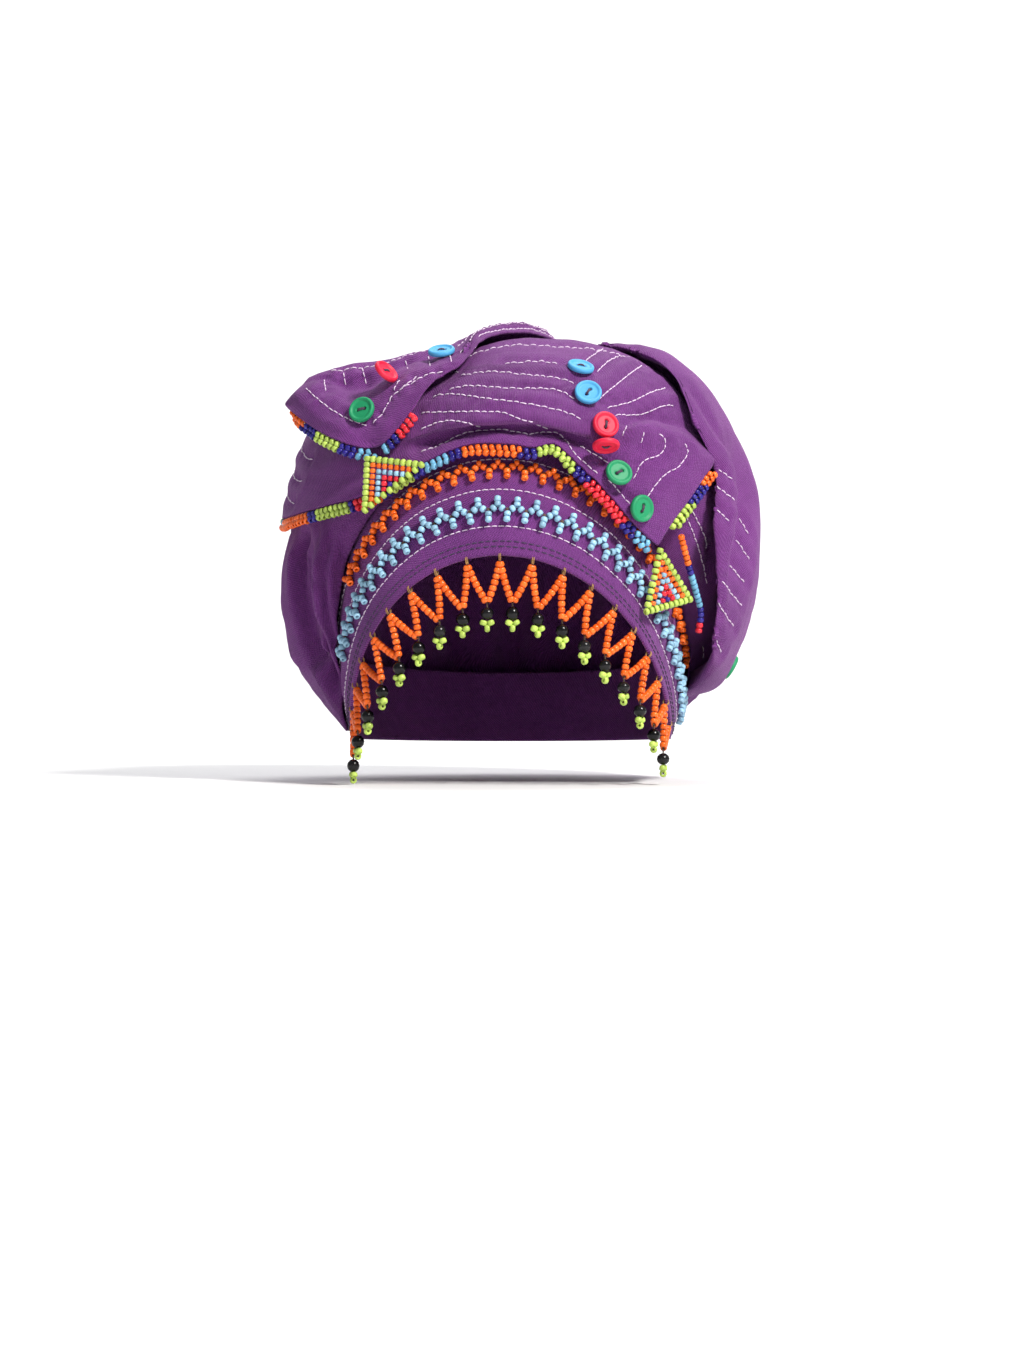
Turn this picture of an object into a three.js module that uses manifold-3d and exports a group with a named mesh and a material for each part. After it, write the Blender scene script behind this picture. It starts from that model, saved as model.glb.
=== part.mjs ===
// A beaded cotton wrap, ready tied: a sloping brim band, a soft bag over the crown and down the back,
// a square of stitched cloth folded over the front and top, a folded corner at the left, a long rolled
// fold at the right, bead rows, bead trims, two bead triangles, a bead fringe and plastic buttons.
// Left and right are as seen from the front. Millimetres. +Z is up, -Y is the front and +X is the right.
// The origin is the middle of the hollow, level with the front of the hem.
import * as THREE from "three";
import Module from "manifold-3d";

const wasm = await Module();
wasm.setup();

// Driving sizes of the cloth
const clothThickness = 1.5;
const layerGap = 0.35;
const crown = {
  centre: new THREE.Vector3(2, 22, 12),
  halfWidth: 118,
  front: 104,
  back: 113,
  up: 98,
  down: 125,
  planPower: 2,
  sidePower: 2.5,
};
const crownTop = { azimuth: 180, elevation: 75 };

// The brim band. Each row is one line round it. Width is its half width, the three heights are those at
// its side, front and back, and the three depths are its places along Y there.
const bandRows = [
  {
    row: "hem", place: 0, width: 82, sideHeight: -92, frontHeight: 0, frontDepth: -90, sideDepth: -12,
    backDepth: 80, backHeight: -95,
  },
  {
    row: "blue beads", place: 0.5, width: 87, sideHeight: -78, frontHeight: 22, frontDepth: -85,
    sideDepth: 2, backDepth: 87, backHeight: -83,
  },
  {
    row: "orange beads", place: 1, width: 90, sideHeight: -62, frontHeight: 43, frontDepth: -75,
    sideDepth: 18, backDepth: 93, backHeight: -70,
  },
  {
    row: "back edge", place: 1.4, width: 92, sideHeight: -48, frontHeight: 60, frontDepth: -64,
    sideDepth: 34, backDepth: 98, backHeight: -58,
  },
];
const frontShift = -6;
const bandRoundness = 0.65;

// Where the bag is sewn to the band: angle round the band (0 right, 90 front, 180 left, 270 back) and
// place on the band from 0 at the hem to 1.4 at its back edge.
const bagSeam = [
  { angle: 0, place: 1.15 },
  { angle: 35, place: 1.25 },
  { angle: 90, place: 1.3 },
  { angle: 150, place: 1.25 },
  { angle: 166, place: 0.85 },
  { angle: 180, place: 0.15 },
  { angle: 270, place: 0.2 },
  { angle: 335, place: 0.6 },
  { angle: 360, place: 1.15 },
];
const seamLift = 2.3;
const seamTuck = 0.22;

// Sheets folded over the crown. A row runs along the cloth; each of its stations is
// [azimuth in degrees from the front, elevation in degrees, height over the crown].
const frontClothRows = [
  {
    row: "bead edge",
    stations: [
      [-104, 9, 3.5], [-90, 6, 5], [-77, 5, 5.5], [-65, 6, 5.5], [-54, 7.5, 4.5], [-39.5, 10.5, 4],
      [-24.5, 18.2, 4], [-12.8, 22.7, 4.5], [-0.5, 22.7, 4.5], [4.6, 22, 4], [10.5, 22.8, 4.5],
      [16.5, 18, 4.5], [25, 9.6, 4], [32.4, 1.6, 4], [38.5, -3.2, 5],
    ],
  },
  {
    row: "lower stitch",
    stations: [
      [-104, 14, 3], [-90, 12, 4], [-72.5, 8.5, 4], [-55, 12.5, 3.5], [-40, 16.5, 3.5],
      [-27, 21, 3.5], [-16, 25.5, 3.5], [-3, 27, 3.5], [8.5, 26.5, 3.5], [16, 21, 4],
      [22.5, 15, 4.5], [31.5, 8.5, 5], [38.5, 4.2, 6], [43, 3.2, 6],
    ],
  },
  {
    row: "valley under the puff",
    stations: [
      [-101, 20, 3], [-88, 17, 3.5], [-70.5, 13.5, 3.5], [-54.5, 18, 3.5], [-39, 20.5, 3.5],
      [-27.5, 23.5, 3], [-16.5, 27.5, 2.5], [-1, 28.5, 2.5], [8.5, 28, 2.5], [17, 25, 3],
      [23.5, 21, 4], [32.5, 14.5, 5.5], [40.5, 11, 7], [48.2, 8.6, 7],
    ],
  },
  {
    row: "lip of the puff",
    stations: [
      [-97, 26, 3], [-85, 22, 3.5], [-69, 18, 3.5], [-52, 22, 3.5], [-37, 24, 4], [-26, 25, 7],
      [-15, 26.5, 11], [-1, 27, 11.5], [8.5, 26, 11], [15.5, 24.5, 10], [24, 23, 9], [35, 21, 9],
      [44.5, 17.8, 9], [53, 13.6, 8.5],
    ],
  },
  {
    row: "belly of the puff",
    stations: [
      [-89, 32, 3], [-78, 26, 3.5], [-64, 23, 3.5], [-50.5, 26.5, 3.5], [-36.5, 29.5, 4.5],
      [-27, 31, 8], [-15.5, 31.5, 12], [-5, 32, 12.5], [5, 31, 12.5], [16, 28.5, 12],
      [24.5, 27.5, 11], [36.5, 25, 11.5], [47, 22.5, 11], [57.5, 17.5, 9.5],
    ],
  },
  {
    row: "over the pleat",
    stations: [
      [-76, 37, 3], [-66, 33, 3.5], [-57, 30, 3.5], [-48, 33, 3.5], [-36.5, 36, 4.5],
      [-25, 37.5, 8], [-15, 37, 12], [-3, 37, 12], [12.5, 35.5, 11], [22, 34, 8], [34, 32.5, 4.5],
      [44.5, 30.5, 3.5], [53, 28, 3.5], [60, 24, 4],
    ],
  },
  {
    row: "second stitch",
    stations: [
      [-60, 42, 3.5], [-45.5, 38.5, 4], [-37.5, 40.5, 4.5], [-28, 42, 6], [-18.5, 42, 9],
      [-9, 42.5, 11], [2.5, 42, 11], [13.5, 40.5, 10.5], [22, 39, 9], [35, 39.5, 8], [50, 38, 6],
      [61, 32, 4.5],
    ],
  },
  {
    row: "first stitch",
    stations: [
      [-38, 46, 3.5], [-23.5, 46.5, 5], [-17, 47, 6.5], [-10.5, 47, 9], [-4.5, 47.5, 10],
      [9, 47.5, 10], [22, 46.5, 9.5], [39, 48, 9], [54, 46, 7], [64, 39, 4.5],
    ],
  },
  {
    row: "crest",
    stations: [
      [-28, 54, 3.5], [-16.5, 61.5, 7], [4, 66, 8.5], [35, 65, 8.5], [54, 60, 8], [65, 54, 6.5],
      [72, 46, 4],
    ],
  },
  {
    row: "over the top",
    stations: [
      [-30, 77, 2.7], [48, 74, 5], [68, 68, 6.5], [75.5, 64.5, 6], [82.5, 56.5, 5], [84, 48, 3.5],
    ],
  },
  {
    row: "back slope",
    stations: [
      [150, 78, 2.7], [110, 69, 4.5], [108.5, 62, 4.5], [106, 56, 3], [101, 47, 2.5],
    ],
  },
  {
    row: "back hem",
    stations: [
      [150, 62, 2.7], [134, 55, 2.8], [129, 51.5, 2.8], [124, 46.5, 2.8], [117, 41, 2.8],
    ],
  },
];
const foldedCornerRows = [
  {
    row: "bead edge",
    stations: [
      [-65.5, 27, 26], [-59, 24.8, 22.5], [-52.2, 22.4, 19], [-45, 20.6, 14.5], [-40, 20.8, 8.5],
      [-36, 22.2, 9], [-33, 25.2, 10], [-29.4, 29.2, 12.3], [-26.6, 33.4, 14.7], [-23.2, 38, 15.7],
      [-18, 43, 14.5], [-15.5, 59.5, 12], [13.5, 77, 11], [129, 71.5, 8.5], [145, 60, 6],
      [151.5, 48.5, 4],
    ],
  },
  {
    row: "low panel",
    stations: [
      [-65.5, 27.5, 28.5], [-58.5, 27, 26], [-53, 26, 21.5], [-46, 24, 16], [-41, 22.5, 10],
      [-36, 25.5, 11], [-34, 29.5, 12], [-30.5, 33, 14], [-27.5, 36, 15.5], [-23, 39.5, 16],
      [-19, 44.5, 15.5], [-17.5, 61.5, 13], [13, 79, 12.5], [131.5, 73.5, 10.5], [148.5, 61, 7.5],
      [154.5, 48.5, 4.5],
    ],
  },
  {
    row: "chevron stitch",
    stations: [
      [-64.5, 29, 29], [-59, 30.5, 28.5], [-54, 29, 23.5], [-49, 27.5, 18], [-43, 26.5, 12],
      [-39.5, 28, 12], [-37, 32.5, 13.5], [-33, 36, 15.5], [-29, 38, 16.5], [-23.5, 41, 16],
      [-19.5, 46.5, 15.5], [-19, 64, 14.5], [16, 81, 14.5], [133.5, 75, 12.5], [152, 61.5, 10],
      [158, 48.5, 5],
    ],
  },
  {
    row: "top of the panel",
    stations: [
      [-64.5, 31.5, 27.5], [-59.5, 33.5, 25], [-54.5, 32.5, 19.5], [-50, 31.5, 15.5],
      [-45.5, 32.5, 14], [-43, 36, 13.5], [-40.5, 40, 13.5], [-36.5, 43.5, 12.5], [-31, 46, 12],
      [-26, 47, 13], [-22, 50.5, 13.5], [-21.5, 67, 15], [21.5, 83, 16], [135.5, 76.5, 14],
      [156, 62, 12], [161, 48.5, 6],
    ],
  },
  {
    row: "valley",
    stations: [
      [-65, 33, 26.5], [-61.5, 35.5, 22], [-58, 36, 14.5], [-54, 37, 9.5], [-50, 39, 8],
      [-47, 43, 8], [-43.5, 46, 8], [-40, 48.5, 8], [-35, 50.5, 8], [-31, 53, 9],
      [-27.5, 56.5, 10.5], [-26.5, 70, 13], [29.5, 85.5, 15.5], [139, 77, 16], [160, 62, 14],
      [164, 48.5, 6.5],
    ],
  },
  {
    row: "belly of the roll",
    stations: [
      [-65.5, 34.5, 26], [-62, 38, 21.5], [-58, 40.5, 16.5], [-54.5, 42.5, 13.5],
      [-51, 44.5, 12.5], [-48, 47, 11.5], [-45, 49.5, 11], [-42.5, 52, 10.5], [-39.5, 55, 10],
      [-37, 59, 9.5], [-34.5, 63.5, 9.5], [-34, 75, 12.5], [63.5, 87.5, 16.5], [142.5, 77.5, 17.5],
      [163.5, 63.5, 15.5], [167, 48.5, 6.5],
    ],
  },
  {
    row: "crest of the roll",
    stations: [
      [-66.5, 35.5, 25], [-64, 39.5, 20], [-61, 43.5, 15.5], [-58, 47, 12], [-55, 50, 9.5],
      [-52, 53, 8], [-49, 56.5, 7], [-46.5, 60, 6.5], [-44, 63.5, 6], [-43.5, 67.5, 6.5],
      [-42.5, 71.5, 8], [-46.5, 81.5, 11.5], [136.5, 86, 16], [148, 77, 17.5], [167.5, 63.5, 16],
      [170, 49, 6],
    ],
  },
  {
    row: "back of the roll",
    stations: [
      [-70, 36, 19.5], [-68.5, 41, 14.5], [-66.5, 45, 10.5], [-64, 49, 8], [-62, 53, 6],
      [-60, 57, 4.5], [-58.5, 61, 3.5], [-58.5, 65, 3], [-60, 69, 3], [-64, 72.5, 3.5],
      [-70.5, 76.5, 4.5], [-107.5, 83.5, 7.5], [155.5, 81, 12], [161.5, 74.5, 13.5],
      [173.5, 63, 12], [174, 49, 4.5],
    ],
  },
  {
    row: "seat",
    stations: [
      [-76, 35, 11.5], [-75, 40, 7], [-73.5, 45, 4], [-72, 50, 2.1], [-71, 54.5, 2.1],
      [-71, 59, 2.1], [-72, 63, 2.1], [-75, 67, 2.1], [-80, 70.5, 2.1], [-89, 73.5, 2.1],
      [-103, 75, 2.1], [-128, 75, 2.1], [-156, 74, 2.1], [-169, 68, 2.1], [-174, 58, 2.1],
      [-178, 48, 2.1],
    ],
  },
];
const sideRollRows = [
  {
    row: "turned under",
    stations: [
      [86, 65, 8], [80, 58, 7.5], [77, 49, 7.5], [72, 41, 7], [65, 34, 6.5], [64, 27, 6.5],
      [66, 21, 5], [67, 16, 3.5], [67.5, 9, 3], [67.5, 2, 3], [67.5, -7, 3], [67.5, -16, 3],
      [67, -23, 3], [66, -28, 3], [76, -38, -6],
    ],
  },
  {
    row: "lip",
    stations: [
      [84, 66, 8.4], [76, 60, 9], [67.5, 50, 10], [62, 42, 10], [56.5, 34.5, 10], [54, 27, 10],
      [56.5, 21, 9], [58.5, 17, 9], [58.5, 10.5, 8.5], [59, 3, 8], [59, -6, 8], [59.5, -15, 8],
      [59.5, -23, 8], [63, -29.5, 6], [74, -40, -7],
    ],
  },
  {
    row: "inner roll",
    stations: [
      [86, 67, 8.8], [78, 61, 10.5], [72, 51.5, 13], [67, 43, 13], [62.5, 35, 13], [61, 27, 12.5],
      [63, 21, 12], [65.5, 16.5, 11.5], [65.5, 10, 11.5], [63.5, 3, 11], [61.5, -6, 10],
      [60.5, -15, 10], [61, -23, 9], [65, -31.5, 6], [75, -41.5, -7.5],
    ],
  },
  {
    row: "crease",
    stations: [
      [90, 67, 9], [83, 61, 12], [79, 52, 15], [76, 43.5, 13.5], [74, 35, 12], [73.5, 26, 10.5],
      [74, 19.5, 7.5], [73.5, 14.5, 5.5], [71.5, 8, 5.5], [68, 2, 5.5], [64, -6, 6.5],
      [62.5, -15, 9], [64, -23.5, 9.5], [68, -33, 5.5], [77, -42.5, -8],
    ],
  },
  {
    row: "outer roll",
    stations: [
      [95, 66, 8.8], [92, 60, 12], [89, 51.5, 15], [87, 43.5, 13], [85, 35, 11], [84, 26, 9.5],
      [83, 18.5, 9], [82, 12, 9.5], [80, 5.5, 10], [78, -1.5, 10.5], [75, -9, 10.5], [73, -17, 10],
      [73, -24.5, 8.5], [75, -34.5, 4.5], [81, -43, -8],
    ],
  },
  {
    row: "back of the roll",
    stations: [
      [101, 64, 8.4], [101, 58, 9], [99, 50.5, 10.5], [97.5, 43, 10], [97, 34.5, 9], [96, 26, 8],
      [95.5, 18, 7.5], [95, 10.5, 7.5], [94, 3, 7.5], [93, -4, 8], [91, -11.5, 8], [90, -19, 7],
      [89, -26, 5.5], [87, -35.5, 3.5], [87, -43, -8],
    ],
  },
  {
    row: "seat",
    stations: [
      [107, 61, 8], [110, 55.5, 6.5], [109, 49, 5.5], [108.5, 42, 4], [108.5, 34, 3],
      [108.5, 25.5, 3], [108.5, 17, 3], [108.5, 9, 3], [108, 1.5, 3], [107.5, -5.5, 3],
      [107, -12.5, 3], [106, -20, 3], [104, -26, 3], [98, -35, 2.5], [94, -42, -7],
    ],
  },
];

// How finely each cloth is divided. By station, a column joins the same station of every row; otherwise it
// joins points at an equal share of each row's length.
const bandSections = { around: 40, places: [0, 0.25, 0.5, 1, 1.4] };
const bagSections = { around: 52, upwards: 12 };
const sheetSections = [
  { name: "front_cloth", rows: frontClothRows, across: 15, along: 30, byStation: false },
  { name: "folded_corner", rows: foldedCornerRows, across: 10, along: 22, byStation: true },
  { name: "side_roll", rows: sideRollRows, across: 9, along: 18, byStation: true },
];

// Folds pressed into the bag. A fold runs from, via and to, each [azimuth, elevation]; a height under 0 is a
// furrow.
const bagFolds = [
  { from: [-54, 4], via: [-60, -14], to: [-68, -50], width: 9, height: 10 },
  { from: [-68, 4], via: [-70, -18], to: [-76, -50], width: 8, height: -9 },
  { from: [-82, 4], via: [-80, -18], to: [-84, -50], width: 9, height: 9 },
  { from: [-98, 6], via: [-94, -18], to: [-92, -50], width: 9, height: -8 },
  { from: [66, 12], via: [66, -4], to: [62, -22], width: 9, height: -7 },
  { from: [52, 6], via: [54, -8], to: [52, -24], width: 7, height: 3 },
];
const backFolds = {
  first: 118,
  last: 242,
  count: 7,
  foot: -54,
  top: 24,
  width: 10,
  height: 12,
  closing: 0.84,
};

// Bead trims and rows. The zigzag row has one tooth for each pitch.
const beadRow = { width: 9, narrow: 4.5, thickness: 3.2, pitch: 9.1 };
const beadRows = [
  { name: "blue_bead_row", place: 0.5, firstAngle: -2, lastAngle: 164, colour: "sky" },
  { name: "orange_bead_row", place: 1, firstAngle: 5, lastAngle: 152, colour: "orange" },
];
const trim = { width: 6, thickness: 3.4, gap: 1.15 };
// Bead trims: the sheet and its edge, with the first and last grid lines that the trim runs past.
const trims = [
  { name: "front_bead_edge", on: "front_cloth", edge: "lower", first: 0, last: 30 },
  { name: "right_bead_edge", on: "front_cloth", edge: "end", first: 1, last: 5 },
  { name: "corner_left_bead_edge", on: "folded_corner", edge: "lower", first: 0, last: 6 },
  { name: "corner_right_bead_edge", on: "folded_corner", edge: "lower", first: 7, last: 10 },
];
const hangingStrand = {
  diameter: 4,
  steps: 10,
  stations: [[44.9, -0.4, 6.5], [49, -9, 5], [52, -13.5, 3.8], [55.5, -19, 3.2], [56, -24, 3.2]],
};
const leftTriangle = {
  apex: [-38.7, 17.2, 13.6],
  side: [-24.6, 16.2, 10.4],
  foot: [-39, 5.4, 11.5],
  thickness: 3.6,
};
const rightTriangle = {
  apex: [39.2, -4.4, 6.2],
  side: [48.6, -15.6, 8],
  foot: [36, -19.3, 6.4],
  thickness: 3.6,
};

// The fringe: vees of beads between stops along the hem, each with a round bead and a bead cluster below
// its foot.
const fringe = {
  stopPitch: 16.5,
  stopsAcross: 19,
  depth: 20,
  strand: 3.2,
  ribbon: 7,
  thread: 0.9,
  dropSides: 5,
  header: 2.6,
  plumb: 0.2,
  roundBead: 3.3,
  roundBeadDrop: 6,
  cluster: 3.1,
  clusterDrop: 11,
  searchFrom: -40,
  searchTo: 220,
  smoothing: 0.1,
};

// Buttons, each on a sheet at [azimuth, elevation], tipped by two angles out of the face of the cloth or,
// where the cloth folds round it, facing a way of its own. The reach is how far round its rim a button
// looks for cloth that it must clear, and mostClear is the most that it is moved out for it.
const button = {
  radius: 6.75,
  thickness: 2.6,
  rim: 1.1,
  bevel: 0.5,
  dish: 0.8,
  sides: 10,
  seat: 0.5,
  reach: 3,
  mostClear: 8,
};
const buttons = [
  { name: "blue_button_1", on: "front_cloth", at: [21.5, 45], tip: [-8, 0], colour: "blue" },
  { name: "blue_button_2", on: "front_cloth", at: [20, 35.5], tip: [0, -22], colour: "blue" },
  { name: "red_button_1", on: "front_cloth", at: [23, 26.5], tip: [4, 0], colour: "red" },
  { name: "green_button_1", on: "front_cloth", at: [27.5, 16.5], tip: [-16, 0], colour: "green" },
  { name: "green_button_2", on: "front_cloth", at: [32, 8.5], tip: [0, 14], colour: "green" },
  { name: "green_button_3", on: "folded_corner", at: [-43.5, 30.5], tip: [8, 0], colour: "green" },
  {
    name: "red_button_2",
    on: "front_cloth",
    at: [23.6, 25.4],
    facing: [0.05, -0.4, -0.92],
    mostClear: 9.4,
    colour: "red",
  },
  {
    name: "red_button_3",
    on: "folded_corner",
    at: [-46.8, 33.6],
    facing: [0.62, -0.45, 0.64],
    mostClear: 15,
    colour: "red",
  },
  {
    name: "blue_button_3",
    on: "folded_corner",
    at: [-24.5, 47.5],
    facing: [-0.1, -0.42, 0.9],
    colour: "blue",
  },
  { name: "blue_button_4", on: "side_roll", at: [96, -8], tip: [0, 0], colour: "blue" },
  { name: "red_button_4", on: "side_roll", at: [94, -18.5], tip: [0, 0], colour: "red" },
  { name: "green_button_4", on: "side_roll", at: [90, -31], tip: [0, 0], colour: "green" },
];

const materials = {
  cotton: new THREE.MeshStandardMaterial({ color: 0x8a3fa0, roughness: 0.9, metalness: 0 }),
  orange: new THREE.MeshStandardMaterial({ color: 0xff6a1c, roughness: 0.35, metalness: 0 }),
  sky: new THREE.MeshStandardMaterial({ color: 0x86b8d2, roughness: 0.35, metalness: 0 }),
  mixedBeads: new THREE.MeshStandardMaterial({ color: 0x9fc46a, roughness: 0.35, metalness: 0 }),
  blue: new THREE.MeshStandardMaterial({ color: 0x4d9ed0, roughness: 0.3, metalness: 0 }),
  red: new THREE.MeshStandardMaterial({ color: 0xd8203f, roughness: 0.3, metalness: 0 }),
  green: new THREE.MeshStandardMaterial({ color: 0x1f8a55, roughness: 0.3, metalness: 0 }),
};

const radians = THREE.MathUtils.degToRad;
const lerp = THREE.MathUtils.lerp;
const up = new THREE.Vector3(0, 0, 1);
const product = new THREE.Group();

function addPiece(name, geometry, material) {
  const mesh = new THREE.Mesh(geometry, material);
  mesh.name = name;
  product.add(mesh);
  return mesh;
}

function towards([azimuth, elevation]) {
  const level = Math.cos(radians(elevation));
  return new THREE.Vector3(
    Math.sin(radians(azimuth)) * level,
    -Math.cos(radians(azimuth)) * level,
    Math.sin(radians(elevation)),
  );
}

// Distance from the crown's centre to its plain surface, a rounded box drawn with two powers.
function crownRadius(direction) {
  const depth = direction.y < 0 ? crown.front : crown.back;
  const height = direction.z < 0 ? crown.down : crown.up;
  const plan =
    Math.abs(direction.x / crown.halfWidth) ** crown.planPower +
    Math.abs(direction.y / depth) ** crown.planPower;
  const side = Math.abs(direction.z / height) ** crown.sidePower;
  return (plan ** (crown.sidePower / crown.planPower) + side) ** (-1 / crown.sidePower);
}

function overCrown([azimuth, elevation, height]) {
  const direction = towards([azimuth, elevation]);
  return crown.centre.clone().addScaledVector(direction, crownRadius(direction) + height);
}

function curveThrough(points) {
  return new THREE.CatmullRomCurve3(points, false, "centripetal");
}

// Value of a table column at a place, on straight lines between its rows.
function tableValue(table, placeColumn, column, place) {
  let high = table.findIndex((entry) => entry[placeColumn] >= place);
  if (high < 0) high = table.length - 1;
  if (high === 0) return table[0][column];
  const before = table[high - 1];
  const after = table[high];
  const share = (place - before[placeColumn]) / (after[placeColumn] - before[placeColumn]);
  return lerp(before[column], after[column], Math.min(share, 1));
}

// A point of the brim band: the angle round it in degrees, and the place from hem (0) to back edge (1.4).
function onBand(angle, place, out = 0) {
  const size = {};
  for (const column of Object.keys(bandRows[0]).filter((name) => name !== "row" && name !== "place"))
    size[column] = tableValue(bandRows, "place", column, place);
  const across = Math.cos(radians(angle));
  const forward = Math.sin(radians(angle));
  const front = Math.max(forward, 0);
  const back = Math.max(-forward, 0);
  return new THREE.Vector3(
    (size.width + out) * across + frontShift * front,
    size.sideDepth +
      (size.frontDepth - out - size.sideDepth) * front ** bandRoundness +
      (size.backDepth + out - size.sideDepth) * back ** bandRoundness,
    size.sideHeight +
      (size.frontHeight - size.sideHeight) * front +
      (size.backHeight - size.sideHeight) * back,
  );
}

// Height of one fold at a point, from its distance to the fold's line over the crown.
function foldHeight(fold, point) {
  const [start, middle, end] = [fold.from, fold.via, fold.to].map((at) => overCrown([at[0], at[1], 0]));
  const pull = middle.multiplyScalar(2).addScaledVector(start, -0.5).addScaledVector(end, -0.5);
  const curve = new THREE.QuadraticBezierCurve3(start, pull, end);
  const steps = 10;
  let nearest = Infinity;
  let along = 0;
  for (let step = 0; step <= steps; step += 1) {
    const distance = curve.getPoint(step / steps).distanceTo(point);
    if (distance < nearest) {
      nearest = distance;
      along = step / steps;
    }
  }
  const taper = Math.sin(Math.PI * along);
  return fold.height * taper * Math.exp(-((nearest / fold.width) ** 2));
}

// A closed solid from shared corners and faces; faces that have collapsed are left out.
class SolidBuilder {
  constructor() {
    this.positions = [];
    this.faces = [];
    this.known = new Map();
  }
  corner(point) {
    const key = point.toArray().map((value) => Math.round(value * 1e4)).join(",");
    if (!this.known.has(key)) {
      this.known.set(key, this.positions.length / 3);
      this.positions.push(point.x, point.y, point.z);
    }
    return this.known.get(key);
  }
  face(a, b, c) {
    const [i, j, k] = [a, b, c].map((point) => this.corner(point));
    if (i !== j && j !== k && k !== i) this.faces.push(i, j, k);
  }
  quad(a, b, c, d) {
    this.face(a, b, c);
    this.face(a, c, d);
  }
  geometry() {
    const corner = (index) => new THREE.Vector3().fromArray(this.positions, index * 3);
    let volume = 0;
    for (let i = 0; i < this.faces.length; i += 3)
      volume += corner(this.faces[i]).dot(corner(this.faces[i + 1]).cross(corner(this.faces[i + 2])));
    if (volume < 0) {
      for (let i = 0; i < this.faces.length; i += 3)
        [this.faces[i + 1], this.faces[i + 2]] = [this.faces[i + 2], this.faces[i + 1]];
    }
    const geometry = new THREE.BufferGeometry();
    geometry.setAttribute("position", new THREE.Float32BufferAttribute(this.positions, 3));
    geometry.setIndex(this.faces);
    geometry.computeVertexNormals();
    return geometry;
  }
}

// Normals of a grid of points, pointing away from the crown's centre.
function gridNormals(grid, closed) {
  const lines = grid.length;
  const count = grid[0].length;
  let facing = 0;
  const normals = grid.map((line, i) =>
    line.map((point, j) => {
      const left = closed ? line[(j + count - 1) % count] : line[Math.max(j - 1, 0)];
      const right = closed ? line[(j + 1) % count] : line[Math.min(j + 1, count - 1)];
      const below = grid[Math.max(i - 1, 0)][j];
      const above = grid[Math.min(i + 1, lines - 1)][j];
      const normal = right.clone().sub(left).cross(above.clone().sub(below)).normalize();
      facing += normal.dot(point.clone().sub(crown.centre));
      return normal;
    }),
  );
  return normals.map((line, i) =>
    line.map((normal, j) => {
      const outward = grid[i][j].clone().sub(crown.centre).normalize();
      return normal.lengthSq() < 0.5 ? outward : normal.multiplyScalar(Math.sign(facing));
    }),
  );
}

// A wall of cloth: the grid is its outer face, and the inner face lies one thickness behind it.
function clothWall(grid, closed = false, thickness = clothThickness) {
  const normals = gridNormals(grid, closed);
  const inner = grid.map((line, i) =>
    line.map((point, j) => point.clone().addScaledVector(normals[i][j], -thickness)),
  );
  const solid = new SolidBuilder();
  const lines = grid.length;
  const count = grid[0].length;
  const spans = closed ? count : count - 1;
  for (let j = 0; j < spans; j += 1) {
    const next = (j + 1) % count;
    for (let i = 0; i < lines - 1; i += 1) {
      solid.quad(grid[i][j], grid[i][next], grid[i + 1][next], grid[i + 1][j]);
      solid.quad(inner[i][next], inner[i][j], inner[i + 1][j], inner[i + 1][next]);
    }
    solid.quad(inner[0][j], inner[0][next], grid[0][next], grid[0][j]);
    solid.quad(grid[lines - 1][j], grid[lines - 1][next], inner[lines - 1][next], inner[lines - 1][j]);
  }
  if (!closed) {
    const end = count - 1;
    for (let i = 0; i < lines - 1; i += 1) {
      solid.quad(grid[i][0], grid[i + 1][0], inner[i + 1][0], inner[i][0]);
      solid.quad(grid[i + 1][end], grid[i][end], inner[i][end], inner[i + 1][end]);
    }
  }
  return solid.geometry();
}

// A grid of points over a sheet, smooth along its rows and across them.
function sheetGrid(rows, across, along, byStation) {
  const lines = rows.map((entry) => curveThrough(entry.stations.map(overCrown)));
  const columns = [];
  for (let j = 0; j <= along; j += 1) {
    const share = j / along;
    const points = lines.map((line) => (byStation ? line.getPoint(share) : line.getPointAt(share)));
    columns.push(curveThrough(points));
  }
  const grid = [];
  for (let i = 0; i <= across; i += 1) grid.push(columns.map((column) => column.getPoint(i / across)));
  return grid;
}

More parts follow.
